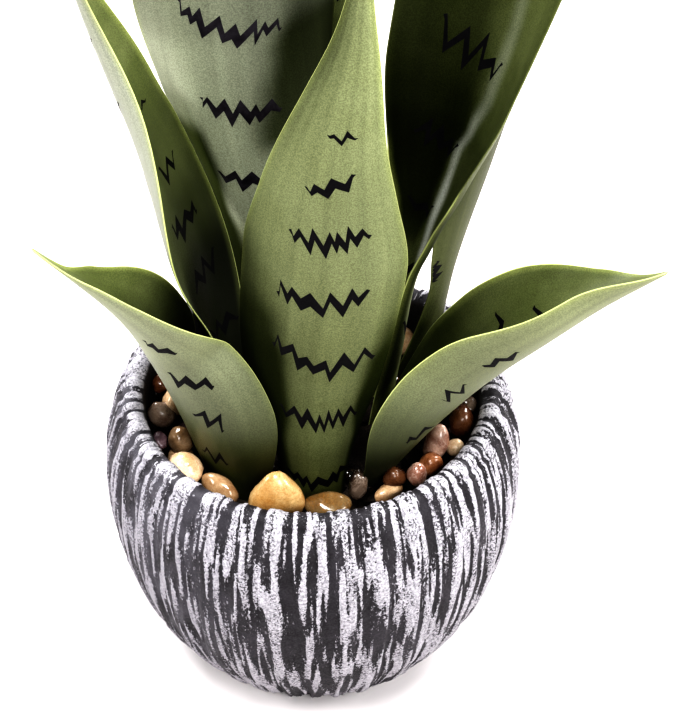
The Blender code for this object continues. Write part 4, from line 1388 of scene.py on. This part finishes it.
def buildPebbles():
    # one piece for each finish, standing for all the pebbles that have it
    dice = random.Random(stoneBuild["seed"])
    kinds = {}
    for name, node in sorted(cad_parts.items()):
        if name.startswith("pebble_"):
            kinds.setdefault(node.data.materials[0].name.split(".")[0], []).append(name)
    for kind, names in sorted(kinds.items()):
        stones = stonesOf(kind, names, dice)
        joined = bmesh.new()
        toneLayer = joined.verts.layers.float.new("tone")
        for *shape, tone in stones:
            for vert in tumbledStone(joined, *shape, dice, stoneBuild["roundness"]):
                vert[toneLayer] = tone
        mesh = meshOf(kind, joined)
        mesh.shade_smooth()
        mesh.materials.append(makeStoneMaterial(kind))
        dressed(kind.replace("pebble_", "pebbles_"), mesh, names)
        print("pebbles:", kind, len(stones), "stones")


buildPebbles()


gravelRule = {
    "spacing": 5.4,           # least distance between two small stones
    "density": 60000.0,       # stones tried per square metre
    "leafClear": 3.0,         # distance that they keep from the blades
    "stoneClear": 3.0,        # and from the pebbles
    "stone": 6.4,
    "patterns": [(1.15, 0.85, 0.8), (1.0, 0.9, 0.9), (1.3, 0.8, 0.7)],   # each one's proportions
    "roundness": 2,
    "smallest": 0.75,
    "largest": 1.15,
    "tilt": 0.5,
    "rise": 1.6,              # how far their middles lie above the planting core
    "level": 0.6,             # how near to upward a face looks that carries them
    "seed": 8,
}

gravelNumbers = {
    "Spacing": gravelRule["spacing"] * mm,
    "Density": gravelRule["density"],
    "Leaf Clear": gravelRule["leafClear"] * mm,
    "Stone Clear": gravelRule["stoneClear"] * mm,
    "Smallest": gravelRule["smallest"],
    "Largest": gravelRule["largest"],
    "Rise": gravelRule["rise"] * mm,
    "Seed": gravelRule["seed"],
}
patternNames = ["First Stone", "Second Stone", "Third Stone"]


def strewnPlaces(w, inputs):
    # places on the core's level faces, clear of the blades and the pebbles
    level = w.parts(w.add("GeometryNodeInputNormal"))[2]
    strewn = w.add("GeometryNodeDistributePointsOnFaces", distribute_method="POISSON", named={
        "Mesh": inputs["Core"], "Selection": w.calc("GREATER_THAN", level, gravelRule["level"]),
        "Distance Min": inputs["Spacing"], "Density Max": inputs["Density"],
        "Seed": inputs["Seed"]}).outputs["Points"]
    strewn = w.add("GeometryNodeSetPosition", named={
        "Geometry": strewn, "Offset": w.combined(0.0, 0.0, inputs["Rise"])}).outputs[0]
    for label, clear in (("Blades", "Leaf Clear"), ("Pebbles", "Stone Clear")):
        target = w.add("GeometryNodeObjectInfo", inputs[label]).outputs["Geometry"]
        near = w.add("GeometryNodeProximity", target, target_element="FACES").outputs["Distance"]
        tooNear = w.calc("LESS_THAN", near, inputs[clear])
        strewn = w.add("GeometryNodeDeleteGeometry", strewn, tooNear).outputs[0]
    return strewn


def makeGravelTree():
    w, inputs, output = newGeometryTree("smallStones", "Core", gravelNumbers,
                                        ["Blades", "Pebbles", *patternNames], ["Material"])
    strewn = strewnPlaces(w, inputs)
    stones = joinedParts(w, *[
        w.add("GeometryNodeObjectInfo", inputs[label], named={"As Instance": True})
        .outputs["Geometry"] for label in patternNames])

    def drawn(kind, low, high, shift):
        # the random node's sockets for the low end, the high end and the result of each kind
        lowPlace, highPlace, result = {"FLOAT": (2, 3, 1), "INT": (4, 5, 2),
                                       "FLOAT_VECTOR": (0, 1, 0)}[kind]
        node = w.add("FunctionNodeRandomValue", data_type=kind)
        w.join(low, node.inputs[lowPlace])
        w.join(high, node.inputs[highPlace])
        w.join(w.plus(inputs["Seed"], shift), node.inputs["Seed"])
        return node.outputs[result]

    tilt = gravelRule["tilt"]
    laid = w.add("GeometryNodeInstanceOnPoints", named={
        "Points": strewn, "Instance": stones, "Pick Instance": True,
        "Instance Index": drawn("INT", 0, len(patternNames) - 1, 1.0),
        "Rotation": drawn("FLOAT_VECTOR", (-tilt, -tilt, 0.0), (tilt, tilt, 6.28), 2.0),
        "Scale": drawn("FLOAT", inputs["Smallest"], inputs["Largest"], 3.0)}).outputs[0]
    laid = stored(w, laid, "tone", drawn("FLOAT", 0.0, 1.0, 4.0), "FLOAT", "INSTANCE")
    for step in ("RealizeInstances", "SetShadeSmooth"):
        laid = w.add("GeometryNode" + step, laid).outputs[0]
    w.join(finished(w, laid, inputs["Material"]), output)
    return w.tree


def joinedCopy(name, start):
    # a copy of all the nodes whose names start alike, as one helper
    bm = bmesh.new()
    for label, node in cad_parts.items():
        if label.startswith(start):
            bm.from_mesh(node.data)
    return newObject(name, meshOf(name, bm))


def buildGravel():
    rule = gravelRule
    dice = random.Random(rule["seed"])
    core = joinedCopy("gravel_core", "planting_core")
    helpers = {"Blades": joinedCopy("gravel_blades", "leaf_"),
               "Pebbles": joinedCopy("gravel_pebbles", "pebble_")}
    for label, shape in zip(patternNames, rule["patterns"]):
        bm = bmesh.new()
        size = [rule["stone"] * mm * share for share in shape]
        tumbledStone(bm, (0, 0, 0), size, 0, 0, 0.0, dice, rule["roundness"])
        helpers[label] = newObject(label, meshOf(label, bm))
    mesh = runTree(core, makeGravelTree(), {
        **gravelNumbers, **helpers, "Material": makeStoneMaterial("gravel")})
    for helper in (core, *helpers.values()):
        bpy.data.objects.remove(helper, do_unlink=True)
    dressed("pebbles_small", mesh, [])
    print("small stones:", len(mesh.polygons), "faces")


buildGravel()


coreFinish = {
    "dark": (0.012, 0.009, 0.007),
    "light": (0.045, 0.032, 0.022),
    "crumbs": (0.08, 0.06, 0.045),
    "crumbShare": 0.4,
    "roughness": (0.8, 1.0),
    "bumpShare": 0.9,
    "bumpDepth": 1.0,
}


def dressCore():
    look = coreFinish
    material, wiring, shader, place = newMaterial("plantingCore", 0.95)
    grain, drift = speckle(wiring, place, 700.0, 120.0)
    colour = wiring.mixed(drift, look["dark"], look["light"])
    colour = wiring.mixed(wiring.times(grain, look["crumbShare"]), colour, look["crumbs"])
    wiring.join(colour, shader.inputs["Base Color"])
    wiring.join(wiring.ramp(grain, 0.0, 1.0, *look["roughness"]), shader.inputs["Roughness"])
    bumped(wiring, shader, grain, look["bumpShare"], look["bumpDepth"] * mm)
    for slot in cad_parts["planting_core"].material_slots:
        slot.material = material


dressCore()


floorFinish = {
    "reach": 3.0,             # half the floor's width, in metres
    "shades": ((0.62, 0.59, 0.59), (0.65, 0.62, 0.62)),
    "glow": (1.0, 0.97, 0.97, 1.0),
    "glowStrength": 0.10,     # seen by the camera alone, so it lights nothing
}


def makeFloor():
    look = floorFinish
    bm = bmesh.new()
    bmesh.ops.create_grid(bm, x_segments=2, y_segments=2, size=look["reach"])
    floor = newObject("floor", meshOf("floor", bm))
    material, wiring, shader, place = newMaterial("paleFloor", 0.6)
    colour = wiring.mixed(wiring.noise(place, 2.0), *look["shades"])
    wiring.join(colour, shader.inputs["Base Color"])
    shader.inputs["Emission Color"].default_value = look["glow"]
    seen = wiring.add("ShaderNodeLightPath").outputs["Is Camera Ray"]
    wiring.join(wiring.times(seen, look["glowStrength"]), shader.inputs["Emission Strength"])
    floor.data.materials.append(material)


# Round soft lights: place, the height on the axis that they aim at, and size, in metres; power.
studioLights = {
    "keyLight": ((0.35, -0.9, 0.9), 0.12, 0.5, 5.0),
    "topLight": ((-0.05, -0.4, 1.3), 0.12, 0.5, 14.0),
    "leftSide": ((-0.9, -0.05, 0.5), 0.15, 0.4, 5.0),
    "rightSide": ((0.9, -0.1, 0.55), 0.12, 0.4, 4.5),
    "leftLight": ((-0.6, 0.8, 0.75), 0.15, 0.4, 9.0),
    "rightLight": ((0.7, 0.7, 0.7), 0.15, 0.4, 8.0),
}
worldStrength = 0.16


def makeStudio():
    scene = bpy.context.scene
    world = bpy.data.worlds.new("studio")
    scene.world = world
    world.use_nodes = True
    background = world.node_tree.nodes["Background"]
    background.inputs["Color"].default_value = (1.0, 1.0, 1.0, 1.0)
    background.inputs["Strength"].default_value = worldStrength
    for name, (place, aim, size, power) in studioLights.items():
        light = bpy.data.lights.new(name, "AREA")
        light.shape = "DISK"
        light.size = size
        light.energy = power
        thing = newObject(name, light)
        thing.location = place
        toward = Vector((0, 0, aim)) - Vector(place)
        thing.rotation_euler = toward.to_track_quat("-Z", "Y").to_euler()
    scene.view_settings.view_transform = "Standard"
    scene.view_settings.look = "Very High Contrast"


cameraView = {
    "place": (0.01194, -0.4408, 0.5215),
    "downward": 42.72,
    "lens": 96.16,
    "sensor": 36.0,
}


def makeCamera():
    data = bpy.data.cameras.new("camera")
    data.lens = cameraView["lens"]
    data.sensor_width = cameraView["sensor"]
    camera = newObject("camera", data)
    camera.location = cameraView["place"]
    camera.rotation_euler = (math.radians(90 - cameraView["downward"]), 0.0, 0.0)
    bpy.context.scene.camera = camera


makeFloor()
makeStudio()
makeCamera()
print("stage, lights and camera are in place")
